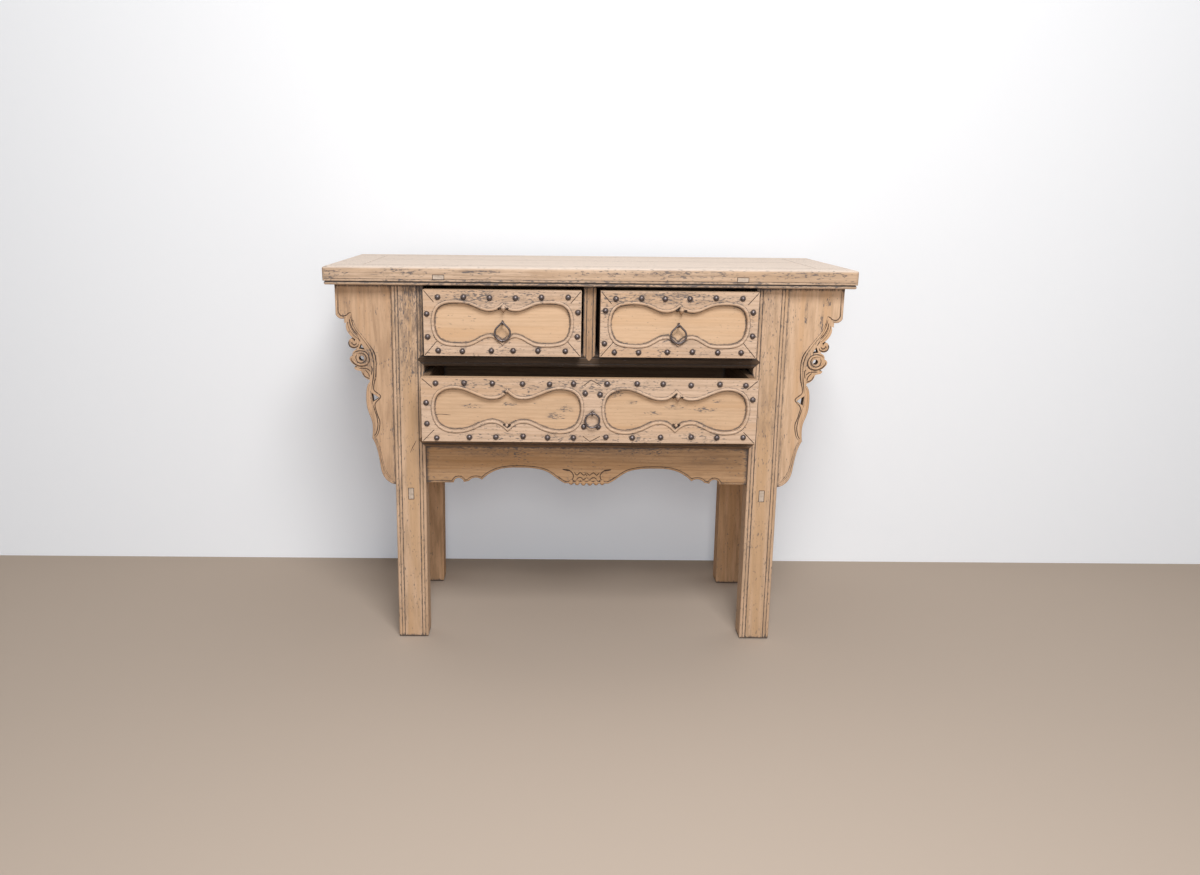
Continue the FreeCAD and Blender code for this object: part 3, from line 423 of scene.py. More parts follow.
# Stains along the top of the apron, just under the bottom rail: partly stains, partly painted shade for the
# shadow of the wide drawer above.
APRON_STAINS_AND_SHADE = [((-0.2, apron_face, apron_top - 14 * MM), (0.14, 0.02, 0.020), 0.07),
                 ((0.05, apron_face, apron_top - 10 * MM), (0.30, 0.02, 0.014), 0.06),
                 ((0.28, apron_face, apron_top - 30 * MM), (0.07, 0.02, 0.020), 0.05)]
WING_PATCHES = [((-0.545, wing_low.y, 0.790), (0.025, 0.02, 0.03), 0.08),
                ((-0.495, wing_low.y, 0.672), (0.030, 0.02, 0.045), 0.09),
                ((0.483, wing_low.y, 0.785), (0.007, 0.02, 0.045), 0.14),
                ((0.518, wing_low.y, 0.765), (0.008, 0.02, 0.030), 0.15),
                ((0.530, wing_low.y, 0.807), (0.016, 0.02, 0.016), 0.15),
                ((0.495, wing_low.y, 0.672), (0.030, 0.02, 0.045), 0.09)]
print(len(TONES), "tones of elm")

# %% [markdown]
# Dressing the boards
# Every board gets a finish with an offset of its own, so that its figure is its own as well, and
# its grain runs along it. The drawer fronts are knocked along their upper rail, and the two
# panels of the wide drawer carry rubbed smudges. Boards inside are darker and have fewer marks.

# %% Dress the boards
OFFSET_START = (0.0, 0.2, 0.4)
OFFSET_PER_BOARD = (0.37, 0.73, 1.19)


def dress(node, finish, along, count, **extra):
    """Gives a solid piece its finish, with an offset of its own so that no two boards match."""
    offset = [start + each * count for start, each in zip(OFFSET_START, OFFSET_PER_BOARD)]
    material = elm(f"{finish}_{node}", along, offset, *TONES[finish], **extra)
    nodes[node].data.materials.clear()
    nodes[node].data.materials.append(material)
    return material


def moulding_patches(drawer):
    """Knocks along the upper rail of a drawer front, and a few along the lower one."""
    low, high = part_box(f"drawer_{drawer}_moulding")
    middle = (low.x + high.x) / 2
    reach = (high.x - low.x) / 2
    upper = 0.06 if drawer == "wide" else 0.105
    return [((middle - 0.1 * reach, low.y, high.z - 14 * MM), (1.2 * reach, 0.03, 0.024), upper),
            ((middle, low.y, low.z + 12 * MM), (1.0 * reach, 0.03, 0.014), 0.04)]


WIDE_SMUDGES = [((-0.074, 0.562), (0.035, 0.012)), ((-0.050, 0.578), (0.030, 0.012)),
                ((-0.261, 0.583), (0.040, 0.009)), ((-0.180, 0.588), (0.035, 0.007)),
                ((-0.118, 0.590), (0.008, 0.004)), ((0.060, 0.612), (0.025, 0.012)),
                ((0.095, 0.594), (0.020, 0.008)), ((0.190, 0.584), (0.045, 0.009)),
                ((0.140, 0.571), (0.030, 0.007)), ((0.259, 0.579), (0.040, 0.009)),
                ((0.285, 0.598), (0.020, 0.008))]
SMUDGE_DEPTH = 0.02
SMUDGE_WEIGHT = 0.16


def panel_patches(drawer):
    """Rubbed smudges on the two panels of the wide drawer; the small ones are clean."""
    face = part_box(f"drawer_{drawer}_front")[0].y
    smudges = WIDE_SMUDGES if drawer == "wide" else []
    return [((across, face, up), (length, SMUDGE_DEPTH, tall), SMUDGE_WEIGHT)
            for (across, up), (length, tall) in smudges]


finishes = {}
finishes["top_front_rail"] = ("top", "x", dict(patches=TOP_PATCHES, scrubbed_and_lit=SCRUBBED_AND_LIT))
for node in ("top_back_rail", "top_board_front", "top_board_back"):
    finishes[node] = ("top", "x", dict(marks=-0.03, scrubbed_and_lit=SCRUBBED_AND_LIT))
for node in ("top_end_board_left", "top_end_board_right"):
    finishes[node] = ("top", "y", dict(marks=-0.02, scrubbed_and_lit=SCRUBBED_AND_LIT_END))
for side in SIDES:
    finishes[f"leg_front_{side}"] = ("leg", "z", dict(patches=LEG_PATCHES, stain=12.0))
    finishes[f"wing_front_{side}"] = ("wing" if side == "right" else "wing_left", "z",
                                     dict(marks=-0.03, patches=WING_PATCHES))
    for node in (f"leg_rear_{side}", f"wing_rear_{side}"):
        finishes[node] = ("rear", "z", dict(marks=-0.02))
    for node in (f"side_panel_{side}", f"side_rail_{side}"):
        finishes[node] = ("side", "y", dict(marks=-0.04))
    for node in (f"top_batten_{side}", f"side_stretcher_{side}"):
        finishes[node] = ("tenon", "y", dict(marks=-0.05))
for drawer in ("left", "right", "wide"):
    wide = drawer == "wide"
    finishes[f"drawer_{drawer}_moulding"] = ("moulding", "x",
                                             dict(shelter=(7 if wide else 11) * MM,
                                                  patches=moulding_patches(drawer)))
    finishes[f"drawer_{drawer}_front"] = ("panel_wide" if wide else "panel", "x",
                                          dict(marks=-0.05, shelter=5 * MM, stain=1.5,
                                               patches=panel_patches(drawer)))
finishes["divider_post"] = ("side", "z", dict())
# The apron's strong stains under the bottom rail are partly painted shade.
finishes["apron"] = ("apron", "x", dict(patches=APRON_STAINS_AND_SHADE, stain=7.0))
# Painted shade: the rails get the dark rail tones for the shadow of the drawers above them.
finishes["mid_rail"] = ("rail", "x", dict(marks=-0.03))
finishes["bottom_rail"] = ("rail_low", "x", dict(marks=-0.02))
woods = {}
for node in nodes:
    if not node.endswith(("nails", "eye", "ring")):
        plain_piece = ("inner", "y" if "side" in node or "runner" in node else "x", dict(marks=-0.06))
        finish, along, extra = finishes.get(node, plain_piece)
        woods[node] = dress(node, finish, along, len(woods), **extra)
print(len(woods), "wooden pieces finished")

# %% [markdown]
# Forged iron
# Nails, eyes and rings are hand-forged and darkened. The hammered surface is bump, a brown bloom of rust
# lies in patches of noise, and the highlight stays small.

# %% Iron
IRON = (0.150, 0.128, 0.130)
RUST = (0.095, 0.066, 0.054)
BLOOM_SCALE = 420.0
HAMMER_SCALE = 300.0
HAMMER_DEPTH = 0.5 * MM
RUST_STEP = (0.42, 0.68)
GLOSSY, DULL = 0.24, 0.50


def iron(name):
    """Dark metal with a brown bloom and a hammered surface."""
    material, tree = new_material(name)
    place = add(tree, "ShaderNodeTexCoord").outputs["Object"]
    bloom = noise(tree, place, BLOOM_SCALE, detail=4.0, roughness=0.65)
    hammered = noise(tree, place, HAMMER_SCALE, detail=2.0)
    colour = blend(tree, step(tree, bloom, *RUST_STEP), IRON, RUST)
    rough = add(tree, "ShaderNodeMapRange", [("Value", bloom), ("To Min", GLOSSY), ("To Max", DULL)])
    bump = add(tree, "ShaderNodeBump",
               [("Strength", 0.5), ("Distance", HAMMER_DEPTH), ("Height", hammered)])
    principled(tree, ("Base Color", colour), ("Metallic", 0.8), ("Roughness", rough.outputs[0]),
               ("Normal", bump.outputs[0]))
    return material


forged = iron("forged_iron")
for node in nodes:
    if node not in woods:
        nodes[node].data.materials.clear()
        nodes[node].data.materials.append(forged)
print("iron on", len(nodes) - len(woods), "pieces")

# %% [markdown]
# The dark of joints and cuts
# Where two members meet, and along a carver's cut, old dirt shows as a thin broken line. On this
# table such a line is a low strip on the surface. Its finish is nearly black in places and
# nearly the wood's own tone in others, by noise along the line.

# %% Cuts
BREAK_SCALE = 130.0
BREAK_SOFTNESS = 0.16


def cut_finish(name, dark, wood, gaps):
    """Dark grime that is missing here and there, where the wood's tone shows."""
    material, tree = new_material(name)
    place = add(tree, "ShaderNodeTexCoord").outputs["Object"]
    broken = noise(tree, place, BREAK_SCALE, detail=3.0, roughness=0.6)
    colour = blend(tree, step(tree, broken, gaps, gaps + BREAK_SOFTNESS), dark, wood)
    principled(tree, ("Base Color", colour), *MATTE)
    return material


cut_dark = cut_finish("cut_dark", dark=(0.070, 0.048, 0.038), wood=(0.36, 0.23, 0.15), gaps=0.58)
cut_worn = cut_finish("cut_worn", dark=(0.160, 0.120, 0.100), wood=(0.52, 0.35, 0.23), gaps=0.46)
print("two finishes for cuts")

# %% [markdown]
# A strip along a path
# Beads, ribs and cut lines are all one form: a half circle, squashed to a width and a height,
# carried along a path that lies on a face. The path has two coordinates on the face, and a small
# function turns them, and the height above the face, into points in space. A drawn curve would
# do as well, but a strip worked out as arrays can be flat, can taper, and can follow an outline.

# %% Strips
ROUND_POINTS = 7
SINK = 0.25 * MM
NARROWEST = 0.06
NEARLY_ZERO = 0.001


def on_front(face):
    """For a front face: across and up stay, and height above the face runs to the front."""
    return lambda across, up, out: np.stack([across, face - out, up], axis=-1)


def on_upper(level):
    """For an upper face: across and back stay, and height above the face runs up."""
    return lambda across, back, out: np.stack([across, back, level + out], axis=-1)


def sweep(path, sideways, edges, half_width, height, put):
    """At each path point a half circle: sideways by cosine times width, out by sine times height."""
    turn = np.linspace(0, np.pi, ROUND_POINTS)
    spread = np.cos(turn)[None, :, None] * np.asarray(half_width).reshape(-1, 1, 1)
    spots = path[:, None, :] + sideways[:, None, :] * spread
    out = np.asarray(height).reshape(-1, 1) * np.sin(turn) - SINK * (np.sin(turn) < NEARLY_ZERO)
    points = put(spots[..., 0], spots[..., 1], np.broadcast_to(out, spots.shape[:2])).reshape(-1, 3)
    here = np.arange(ROUND_POINTS)
    after = np.roll(here, -1)
    start, end = edges[:, :1] * ROUND_POINTS, edges[:, 1:] * ROUND_POINTS
    sides = np.stack([start + here, start + after, end + after, end + here], axis=-1).reshape(-1, 4)
    loose = np.flatnonzero(np.bincount(edges.ravel(), minlength=len(path)) == 1)
    caps = loose[:, None] * ROUND_POINTS + here
    return points, sides.tolist() + caps.tolist()


def curve_through(spots, pieces=9):
    """A cubic between each two spots, with slopes of half the step between their neighbours."""
    spots = np.asarray(spots, float)
    spots = np.vstack([2 * spots[0] - spots[1], spots, 2 * spots[-1] - spots[-2]])
    before, start, end, after = spots[:-3], spots[1:-2], spots[2:-1], spots[3:]
    t = np.linspace(0, 1, pieces, endpoint=False)[:, None, None]
    curve = (2 * start + (end - before) * t + (2 * before - 5 * start + 4 * end - after) * t ** 2
             + (3 * start - before - 3 * end + after) * t ** 3) / 2
    return np.vstack([curve.transpose(1, 0, 2).reshape(-1, 2), end[-1:]])


def stroke(spots, width, height, put, taper=0.12, straight=False):
    """A strip through the spots; at each end it narrows to a point over a share of its length."""
    path = np.asarray(spots, float) if straight else curve_through(spots)
    slope = np.gradient(path, axis=0)
    slope /= np.linalg.norm(slope, axis=1, keepdims=True)
    sideways = np.stack([-slope[:, 1], slope[:, 0]], axis=-1)
    share = np.linspace(0, 1, len(path))
    narrow = np.ones(len(path))
    if taper:
        narrow = np.sqrt(np.clip(np.minimum(share, 1 - share) / taper, NARROWEST, 1))
    count = np.arange(len(path) - 1)
    edges = np.stack([count, count + 1], axis=-1)
    return sweep(path, sideways, edges, width / 2 * narrow, height * narrow, put)


def surface(name, parts, material, body="carcass"):
    """One piece from several arrays of points and faces, with its faces turned outward."""
    firsts = np.cumsum([0] + [len(points) for points, faces in parts])
    every_point = np.vstack([points for points, faces in parts])
    every_face = [[corner + int(first) for corner in face]
                  for first, (points, faces) in zip(firsts, parts) for face in faces]
    mesh = bpy.data.meshes.new(name)
    mesh.from_pydata(every_point.tolist(), [], every_face)
    shell = bmesh.new()
    shell.from_mesh(mesh)
    unused = [vertex for vertex in shell.verts if not vertex.link_faces]
    bmesh.ops.delete(shell, geom=unused, context="VERTS")
    bmesh.ops.recalc_face_normals(shell, faces=shell.faces)
    shell.to_mesh(mesh)
    shell.free()
    mesh.shade_smooth()
    piece = bpy.data.objects.new(name, mesh)
    mesh.materials.append(material)
    bpy.context.scene.collection.objects.link(piece)
    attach(piece, body)
    return piece


print("strips of", ROUND_POINTS, "points round")

# %% [markdown]
# A bead along an outline
# The carver ran a small bead along the cut edge of the wings and the apron. Its path is the
# outline of the front face moved inward. The outline is found from the solid itself: an edge of
# the front face that belongs to one triangle only lies on the outline, and the third corner of
# that triangle tells which way is inward.

# %% Outlines
FLAT = 0.02 * MM
DIGITS = 5
MITRE_LIMIT = 0.7


def front_outline(node):
    """Outline points, edges and inward directions of a solid's front face, without order."""
    mesh = nodes[node].data
    corners = np.empty(3 * len(mesh.vertices), dtype=np.float32)
    mesh.vertices.foreach_get("co", corners)
    order = np.empty(len(mesh.loops), dtype=np.int32)
    mesh.loops.foreach_get("vertex_index", order)
    places = corners.reshape(-1, 3)[order.reshape(-1, 3)]
    face = places[..., 1].min()
    flat = places[(places[..., 1] < face + FLAT).all(axis=1)][..., (0, 2)]
    spots, back = np.unique(np.round(flat.reshape(-1, 2), DIGITS), axis=0, return_inverse=True)
    corner = back.reshape(-1, 3)
    edges = np.concatenate([corner[:, (0, 1)], corner[:, (1, 2)], corner[:, (2, 0)]])
    third = np.concatenate([corner[:, 2], corner[:, 0], corner[:, 1]])
    _, index, uses = np.unique(np.sort(edges, axis=1), axis=0, return_index=True, return_counts=True)
    index = index[uses == 1]
    index = index[edges[index, 0] != edges[index, 1]]
    return spots, edges[index], third[index]


def rim(node, keep, inset, width, height, put):
    """A strip inside the outline, where the middle of an outline edge passes the test.

    Each point moves inward along the mean of its edges' normals, farther at a corner but not
    beyond the mitre limit, and the half circle stands on it as in sweep.
    """
    spots, edges, third = front_outline(node)
    step_along = spots[edges[:, 1]] - spots[edges[:, 0]]
    inward = np.stack([-step_along[:, 1], step_along[:, 0]], axis=-1)
    inward /= np.linalg.norm(inward, axis=1, keepdims=True)
    inward *= np.sign(((spots[third] - spots[edges[:, 0]]) * inward).sum(axis=1, keepdims=True))
    sum_inward = np.zeros_like(spots)
    np.add.at(sum_inward, edges.ravel(), np.repeat(inward, 2, axis=0))
    size = np.linalg.norm(sum_inward, axis=1, keepdims=True)
    sideways = sum_inward / np.maximum(size, NEARLY_ZERO)
    middle = spots[edges].mean(axis=1)
    kept = edges[keep(middle)]
    path = spots + sideways * inset / np.maximum(size / 2, MITRE_LIMIT)
    return sweep(path, sideways, kept, np.full(len(spots), width / 2), np.full(len(spots), height), put)


print("outlines flat to", FLAT, "m")

# %% [markdown]
# The wings
# Each front wing is pierced and cut to scrolls, and the carver went over its face: a bead along
# the edge of the plain block, the belly and the tail, a ribbon that runs down from the block
# behind the scrolls, veins in the neck, and spirals on the two curls. The lines were read off the
# left wing, as shares of its width and drop, and the right wing mirrors them.

# %% Wing carving
WING_CUT_SHARES = {
    "block": [(0.929, 0.02), (0.939, 0.12), (0.925, 0.143), (0.88, 0.154), (0.808, 0.152), (0.767, 0.142),
              (0.718, 0.136)],
    "ribbon_outer": [(0.719, 0.137), (0.696, 0.172), (0.641, 0.211), (0.58, 0.237), (0.488, 0.268),
                     (0.419, 0.294), (0.349, 0.321), (0.313, 0.352), (0.304, 0.379), (0.309, 0.424),
                     (0.315, 0.451), (0.34, 0.475), (0.357, 0.494), (0.352, 0.519), (0.241, 0.549),
                     (0.343, 0.586), (0.325, 0.622), (0.296, 0.65), (0.269, 0.673), (0.271, 0.696),
                     (0.29, 0.724), (0.322, 0.745), (0.366, 0.756)],
    "ribbon_inner": [(0.731, 0.15), (0.708, 0.18), (0.654, 0.215), (0.573, 0.245), (0.489, 0.279),
                     (0.413, 0.312), (0.375, 0.339), (0.351, 0.366), (0.342, 0.402), (0.36, 0.447),
                     (0.384, 0.492), (0.396, 0.518)],
    "belly_inner": [(0.381, 0.59), (0.354, 0.618), (0.325, 0.645), (0.311, 0.668), (0.303, 0.691),
                    (0.316, 0.715), (0.343, 0.738), (0.385, 0.751)],
    "neck_vein": [(0.788, 0.181), (0.76, 0.211), (0.692, 0.238), (0.615, 0.259), (0.569, 0.279)],
    "second_vein": [(0.75, 0.167), (0.734, 0.194), (0.682, 0.224), (0.613, 0.246)],
    "curl": [(0.763, 0.275), (0.778, 0.286), (0.757, 0.301), (0.694, 0.308), (0.629, 0.303), (0.603, 0.29)],
    "curl_eye": [(0.721, 0.28), (0.712, 0.289), (0.668, 0.294), (0.636, 0.285)],
    "scroll": [(0.735, 0.358), (0.741, 0.368), (0.703, 0.384), (0.632, 0.396), (0.552, 0.400),
               (0.462, 0.392), (0.42, 0.372), (0.433, 0.348), (0.486, 0.329), (0.582, 0.323),
               (0.660, 0.328), (0.700, 0.340)],
    "spiral": [(0.641, 0.34), (0.659, 0.357), (0.629, 0.378), (0.566, 0.383), (0.5, 0.375),
               (0.479, 0.357), (0.504, 0.341), (0.56, 0.336)],
    "leaf": [(0.61, 0.409), (0.529, 0.409), (0.456, 0.413), (0.406, 0.426)],
    "leaf_tip": [(0.547, 0.429), (0.517, 0.447), (0.462, 0.456), (0.422, 0.460)],
    "leaf_rib": [(0.505, 0.415), (0.443, 0.436), (0.429, 0.454)],
    "nook": [(0.398, 0.397), (0.379, 0.413), (0.395, 0.442)],
}
WING_RIB_SHARES = {
    "ribbon": [(0.700, 0.176), (0.648, 0.213), (0.577, 0.241), (0.489, 0.2735), (0.416, 0.303),
               (0.362, 0.330), (0.332, 0.359), (0.323, 0.390), (0.334, 0.435), (0.350, 0.470)],
    "neck": [(0.772, 0.185), (0.745, 0.213), (0.685, 0.240), (0.600, 0.262)],
    "scroll": [(0.700, 0.363), (0.690, 0.376), (0.630, 0.388), (0.556, 0.392), (0.478, 0.385),
               (0.449, 0.368), (0.457, 0.350), (0.500, 0.335), (0.582, 0.330), (0.650, 0.335)],
    "curl": [(0.742, 0.279), (0.752, 0.287), (0.735, 0.296), (0.690, 0.302), (0.640, 0.297)],
    "tail": [(0.362, 0.756), (0.300, 0.805), (0.258, 0.857), (0.222, 0.905), (0.160, 0.945), (0.069, 0.975)],
}
RIB_WIDTHS = {"ribbon": 4.6 * MM, "neck": 4.4 * MM, "scroll": 5.2 * MM, "curl": 3.4 * MM, "tail": 3.0 * MM}
CUT_WIDTH = 2.2 * MM
CUT_HEIGHT = 0.3 * MM
RIB_HEIGHT = 1.9 * MM
WING_RIM = dict(inset=2.4 * MM, width=3.6 * MM, height=0.9 * MM)
LEG_MARGIN = 0.03
TOP_MARGIN = 0.01
BLOCK_END = 0.17
TAIL_START = 0.765
BELLY = (0.48, 0.76)
BELLY_OUT = 0.36
on_wing = on_front(wing_low.y)


def wing_spots(side, shares):
    """Shares of the wing's drop give the height, and shares of its width the way out from the leg."""
    out, down = np.asarray(shares).T
    z = under_top - down * wing_drop
    return np.stack([side * (leg_line(z) + out * wing_width), z], axis=-1)


def plain_edges(side):
    """A test for outline edges: those of block, belly and tail, away from the leg and the top."""
    def keep(middle):
        down = (under_top - middle[:, 1]) / wing_drop
        out = (side * middle[:, 0] - leg_line(middle[:, 1])) / wing_width
        belly = (down > BELLY[0]) & (down < BELLY[1]) & (out > BELLY_OUT)
        return (out > LEG_MARGIN) & (down > TOP_MARGIN) & ((down < BLOCK_END) | (down > TAIL_START) | belly)
    return keep


for name, side in SIDES.items():
    node = f"wing_front_{name}"
    cuts = [stroke(wing_spots(side, shares), CUT_WIDTH, CUT_HEIGHT, on_wing)
            for shares in WING_CUT_SHARES.values()]
    surface(f"wing_cuts_{name}", cuts, cut_dark)
    ribs = [stroke(wing_spots(side, shares), RIB_WIDTHS[rib], RIB_HEIGHT, on_wing)
            for rib, shares in WING_RIB_SHARES.items()]
    ribs.append(rim(node, plain_edges(side), put=on_wing, **WING_RIM))
    made = surface(f"wing_ribs_{name}", ribs, woods[node])
    print(made.name, len(made.data.polygons), "faces")

# %% [markdown]
# The apron
# A fine bead follows the whole lower edge of the apron, with a cut line above it. In the middle
# the edge drops to a little pendant: two scrolls face each other, leaves are cut between them
# and a fan of petals hangs below.

# %% Apron carving
PETAL_SHARES = [(-0.098, 0.955), (-0.060, 0.965), (-0.020, 0.975), (0.020, 0.975), (0.060, 0.965),
                (0.098, 0.955)]
APRON_CUT_SHARES = {
    "scroll": [(0.154, 0.605), (0.116, 0.627), (0.092, 0.706), (0.084, 0.80), (0.095, 0.90),
               (0.124, 0.945), (0.152, 0.90), (0.179, 0.80)],
    "scroll_vein": [(0.154, 0.612), (0.128, 0.640), (0.104, 0.655)],
    "upper_leaves": [(0.0, 0.700), (0.018, 0.765), (0.042, 0.700), (0.062, 0.765), (0.080, 0.690)],
    "lower_leaves": [(0.0, 0.830), (0.020, 0.880), (0.042, 0.825), (0.066, 0.880)],
    "middle_vein": [(0.0, 0.745), (0.0, 0.790)],
    "inner_petal": [(0.040, 0.905), (0.041, 0.975)],
    "outer_petal": [(0.080, 0.895), (0.082, 0.965)],
    "cusp": [(0.562, 0.600), (0.585, 0.655), (0.611, 0.712)],
    "end_scroll": [(0.79, 0.80), (0.80, 0.84), (0.81, 0.80)],
}
APRON_BEAD = dict(inset=2.2 * MM, width=3.4 * MM, height=1.2 * MM)
APRON_LINE = dict(inset=4.6 * MM, width=1.1 * MM, height=CUT_HEIGHT)
APRON_UPPER_SHARE = 0.3
APRON_END = 3 * MM
PETAL_SIZE = (6.2 * MM, 7.0 * MM, 3.0 * MM)
PETAL_SQUARE = 0.15
on_apron = on_front(apron_face)


def apron_spots(side, shares):
    """Shares of half the apron's length and of its height, from the middle and down from its top."""
    out, down = np.asarray(shares).T
    return np.stack([side * out * apron_half, apron_top - down * apron_height], axis=-1)


def apron_lower(middle):
    """The lower edge: all outline edges but the top and the two ends."""
    low = middle[:, 1] < apron_top - APRON_UPPER_SHARE * apron_height
    return low & (np.abs(middle[:, 0]) < apron_half - APRON_END)


def boss(middle, half_width, half_height, height, square, put, rings=5, spokes=20):
    """A dome over a shape between ellipse (square 0) and diamond (square 1).

    Its height falls by the cosine of the distance from middle to rim.
    """
    turn = np.linspace(0, 2 * np.pi, spokes, endpoint=False)
    rim_reach = (1 - square) + square / (np.abs(np.cos(turn)) + np.abs(np.sin(turn)))
    away = np.linspace(1 / rings, 1, rings)[:, None]
    across = middle[0] + half_width * away * rim_reach * np.cos(turn)
    up = middle[1] + half_height * away * rim_reach * np.sin(turn)
    out = np.broadcast_to(height * np.cos(away * np.pi / 2) - SINK * (away > 1 - NEARLY_ZERO), across.shape)
    points = np.vstack([put(across, up, out).reshape(-1, 3),
                        put(*(np.array([value]) for value in (middle[0], middle[1], height)))])
    here = np.arange(spokes)
    after = np.roll(here, -1)
    ring = np.arange(rings - 1)[:, None] * spokes
    sides = np.stack([ring + here, ring + after, ring + spokes + after, ring + spokes + here], axis=-1)
    crown = np.stack([here, after, np.full(spokes, rings * spokes)], axis=-1)
    foot = [((rings - 1) * spokes + here).tolist()]
    return points, sides.reshape(-1, 4).tolist() + crown.tolist() + foot


cuts = [stroke(apron_spots(side, shares), CUT_WIDTH, CUT_HEIGHT, on_apron)
        for side in SIDES.values() for shares in APRON_CUT_SHARES.values()]
cuts.append(rim("apron", apron_lower, put=on_apron, **APRON_LINE))
surface("apron_cuts", cuts, cut_dark)
bead = [rim("apron", apron_lower, put=on_apron, **APRON_BEAD)]
bead += [boss(spot, *PETAL_SIZE, PETAL_SQUARE, on_apron) for spot in apron_spots(1, PETAL_SHARES)]
made = surface("apron_bead", bead, woods["apron"])
print(made.name, len(made.data.polygons), "faces")

# %% [markdown]
# Ornaments of the drawer fronts
# A small pointed nub sits on each peak of a moulding, between two dark gaps in the bead. One nub
# of the wide drawer was lost, and only its dark notch is left. At the lower cusps of the wide
# drawer stand small leaves. The members of a moulding are mitred, and their joints show as fine
# dark lines at the corners and on the stile. A short crack runs over the left panel.

# %% Drawer ornaments
MOULDING_THICKNESS = 9.0 * MM
MITRE_SHARES = [[(0.006, 0.012), (0.068, 0.185)], [(0.006, 0.988), (0.085, 0.77)]]
WIDE_MITRE_SHARES = [[(0.004, 0.012), (0.034, 0.15)], [(0.004, 0.988), (0.037, 0.815)]]
STILE_MITRE_SHARES = [[(0.482, 0.10), (0.5035, 0.012), (0.533, 0.10)],
                      [(0.482, 0.90), (0.5035, 0.985), (0.533, 0.90)]]
NUB_SHARES = {"left": [(0.506, 0.262)], "right": [(0.513, 0.272)], "wide": [(0.7625, 0.262)]}
NUB_SIZE = (8.0 * MM, 11.0 * MM, 9.0 * MM)
NUB_SQUARE = 0.95
GAP_SIZE = (5.0 * MM, 3.6 * MM, 5.2 * MM)
GAP_SQUARE = 0.9
GAP_AWAY = (9.6 * MM, -1.0 * MM)
NOTCH_SHARES = {"wide": [(0.2499, 0.2150)]}
LEAF_SHARES = {"wide": [(0.2540, 0.735), (0.7600, 0.715)]}
LEAF_SIZE = (5.4 * MM, 6.6 * MM, 6.4 * MM)
LEAF_SQUARE = 0.8
LEAF_GAP_SIZE = (3.4 * MM, 2.8 * MM, 5.0 * MM)
LEAF_GAP_AWAY = (6.0 * MM, 1.5 * MM)
PANEL_CRACK_SHARES = {"wide": [[(0.040, 0.585), (0.058, 0.580), (0.087, 0.592)]]}
JOINT_LINE = dict(width=1.6 * MM, height=0.3 * MM, taper=0, straight=True)
CRACK_LINE = dict(width=1.4 * MM, height=0.25 * MM, taper=0.3)


def front_spots(drawer, shares):
    """Shares of a drawer front's width from its left end and of its height from its top."""
    low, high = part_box(f"drawer_{drawer}_moulding")
    across, down = np.asarray(shares).T
    return np.stack([low.x + across * (high.x - low.x), high.z - down * (high.z - low.z)], axis=-1)


def gap_bosses(spots, away, size, put):
    """Dark little bosses on both sides of each spot."""
    return [boss(spot + (side * away[0], away[1]), *size, GAP_SQUARE, put)
            for spot in spots for side in SIDES.values()]


for drawer in ("left", "right", "wide"):
    moulding = f"drawer_{drawer}_moulding"
    body = f"drawer_{drawer}"
    panel_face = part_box(f"{body}_front")[0].y
    put = on_front(panel_face - MOULDING_THICKNESS)
    mitres = WIDE_MITRE_SHARES if drawer == "wide" else MITRE_SHARES
    lines = mitres + [[(1 - across, down) for across, down in line] for line in mitres]
    if drawer == "wide":
        lines += STILE_MITRE_SHARES
    joints = [stroke(front_spots(drawer, line), put=put, **JOINT_LINE) for line in lines]
    nubs = front_spots(drawer, NUB_SHARES[drawer])
    leaves = front_spots(drawer, LEAF_SHARES[drawer]) if drawer in LEAF_SHARES else []
    joints += gap_bosses(nubs, GAP_AWAY, GAP_SIZE, put)
    joints += gap_bosses(leaves, LEAF_GAP_AWAY, LEAF_GAP_SIZE, put)
    joints += [boss(front_spots(drawer, [spot])[0], *GAP_SIZE, GAP_SQUARE, put)
               for spot in NOTCH_SHARES.get(drawer, [])]
    joints += [stroke(front_spots(drawer, line), put=on_front(panel_face), **CRACK_LINE)
               for line in PANEL_CRACK_SHARES.get(drawer, [])]
    surface(f"{body}_joints", joints, cut_dark, body)
    domes = [boss(spot, *NUB_SIZE, NUB_SQUARE, put) for spot in nubs]
    domes += [boss(spot, *LEAF_SIZE, LEAF_SQUARE, put) for spot in leaves]
    made = surface(f"{body}_nubs", domes, woods[moulding], body)
    print(made.name, len(made.data.polygons), "faces")

# %% [markdown]
# Seams, tenons and cracks
# The boards of the top meet in fine seams. Through its front rail come the tenons of two battens,
# and through the legs those of the low stretchers, each with a dark line round it. A crack runs
# across the left leg below the wide drawer.

# %% Seams
TENON_WIDTH = 25 * MM
TENON_HEIGHT = 10 * MM
TENON_DROP = 17 * MM
BATTEN_MIDDLE = 332 * MM
STRETCHER_MARGIN = 4 * MM
LONG_RAIL_WIDTH = 62 * MM
END_BOARD_WIDTH = 80 * MM
FRONT_BOARD_WIDTH = 203 * MM
MOULDED_EDGE = 9 * MM
SEAM_LINE = dict(width=1.0 * MM, height=0.15 * MM, taper=0, straight=True)
TENON_LINE = dict(width=1.3 * MM, height=0.25 * MM, taper=0, straight=True)
LEG_CRACK = [(-392.9 * MM, 487.8 * MM), (-398.0 * MM, 478.0 * MM), (-401.5 * MM, 472.0 * MM),
             (-408.0 * MM, 458.4 * MM)]


def rectangle(x0, x1, z0, z1, put):
    """Four straight strips round a rectangle."""
    corners = [(x0, z0), (x1, z0), (x1, z1), (x0, z1), (x0, z0)]
    return [stroke(pair, put=put, **TENON_LINE) for pair in zip(corners, corners[1:])]


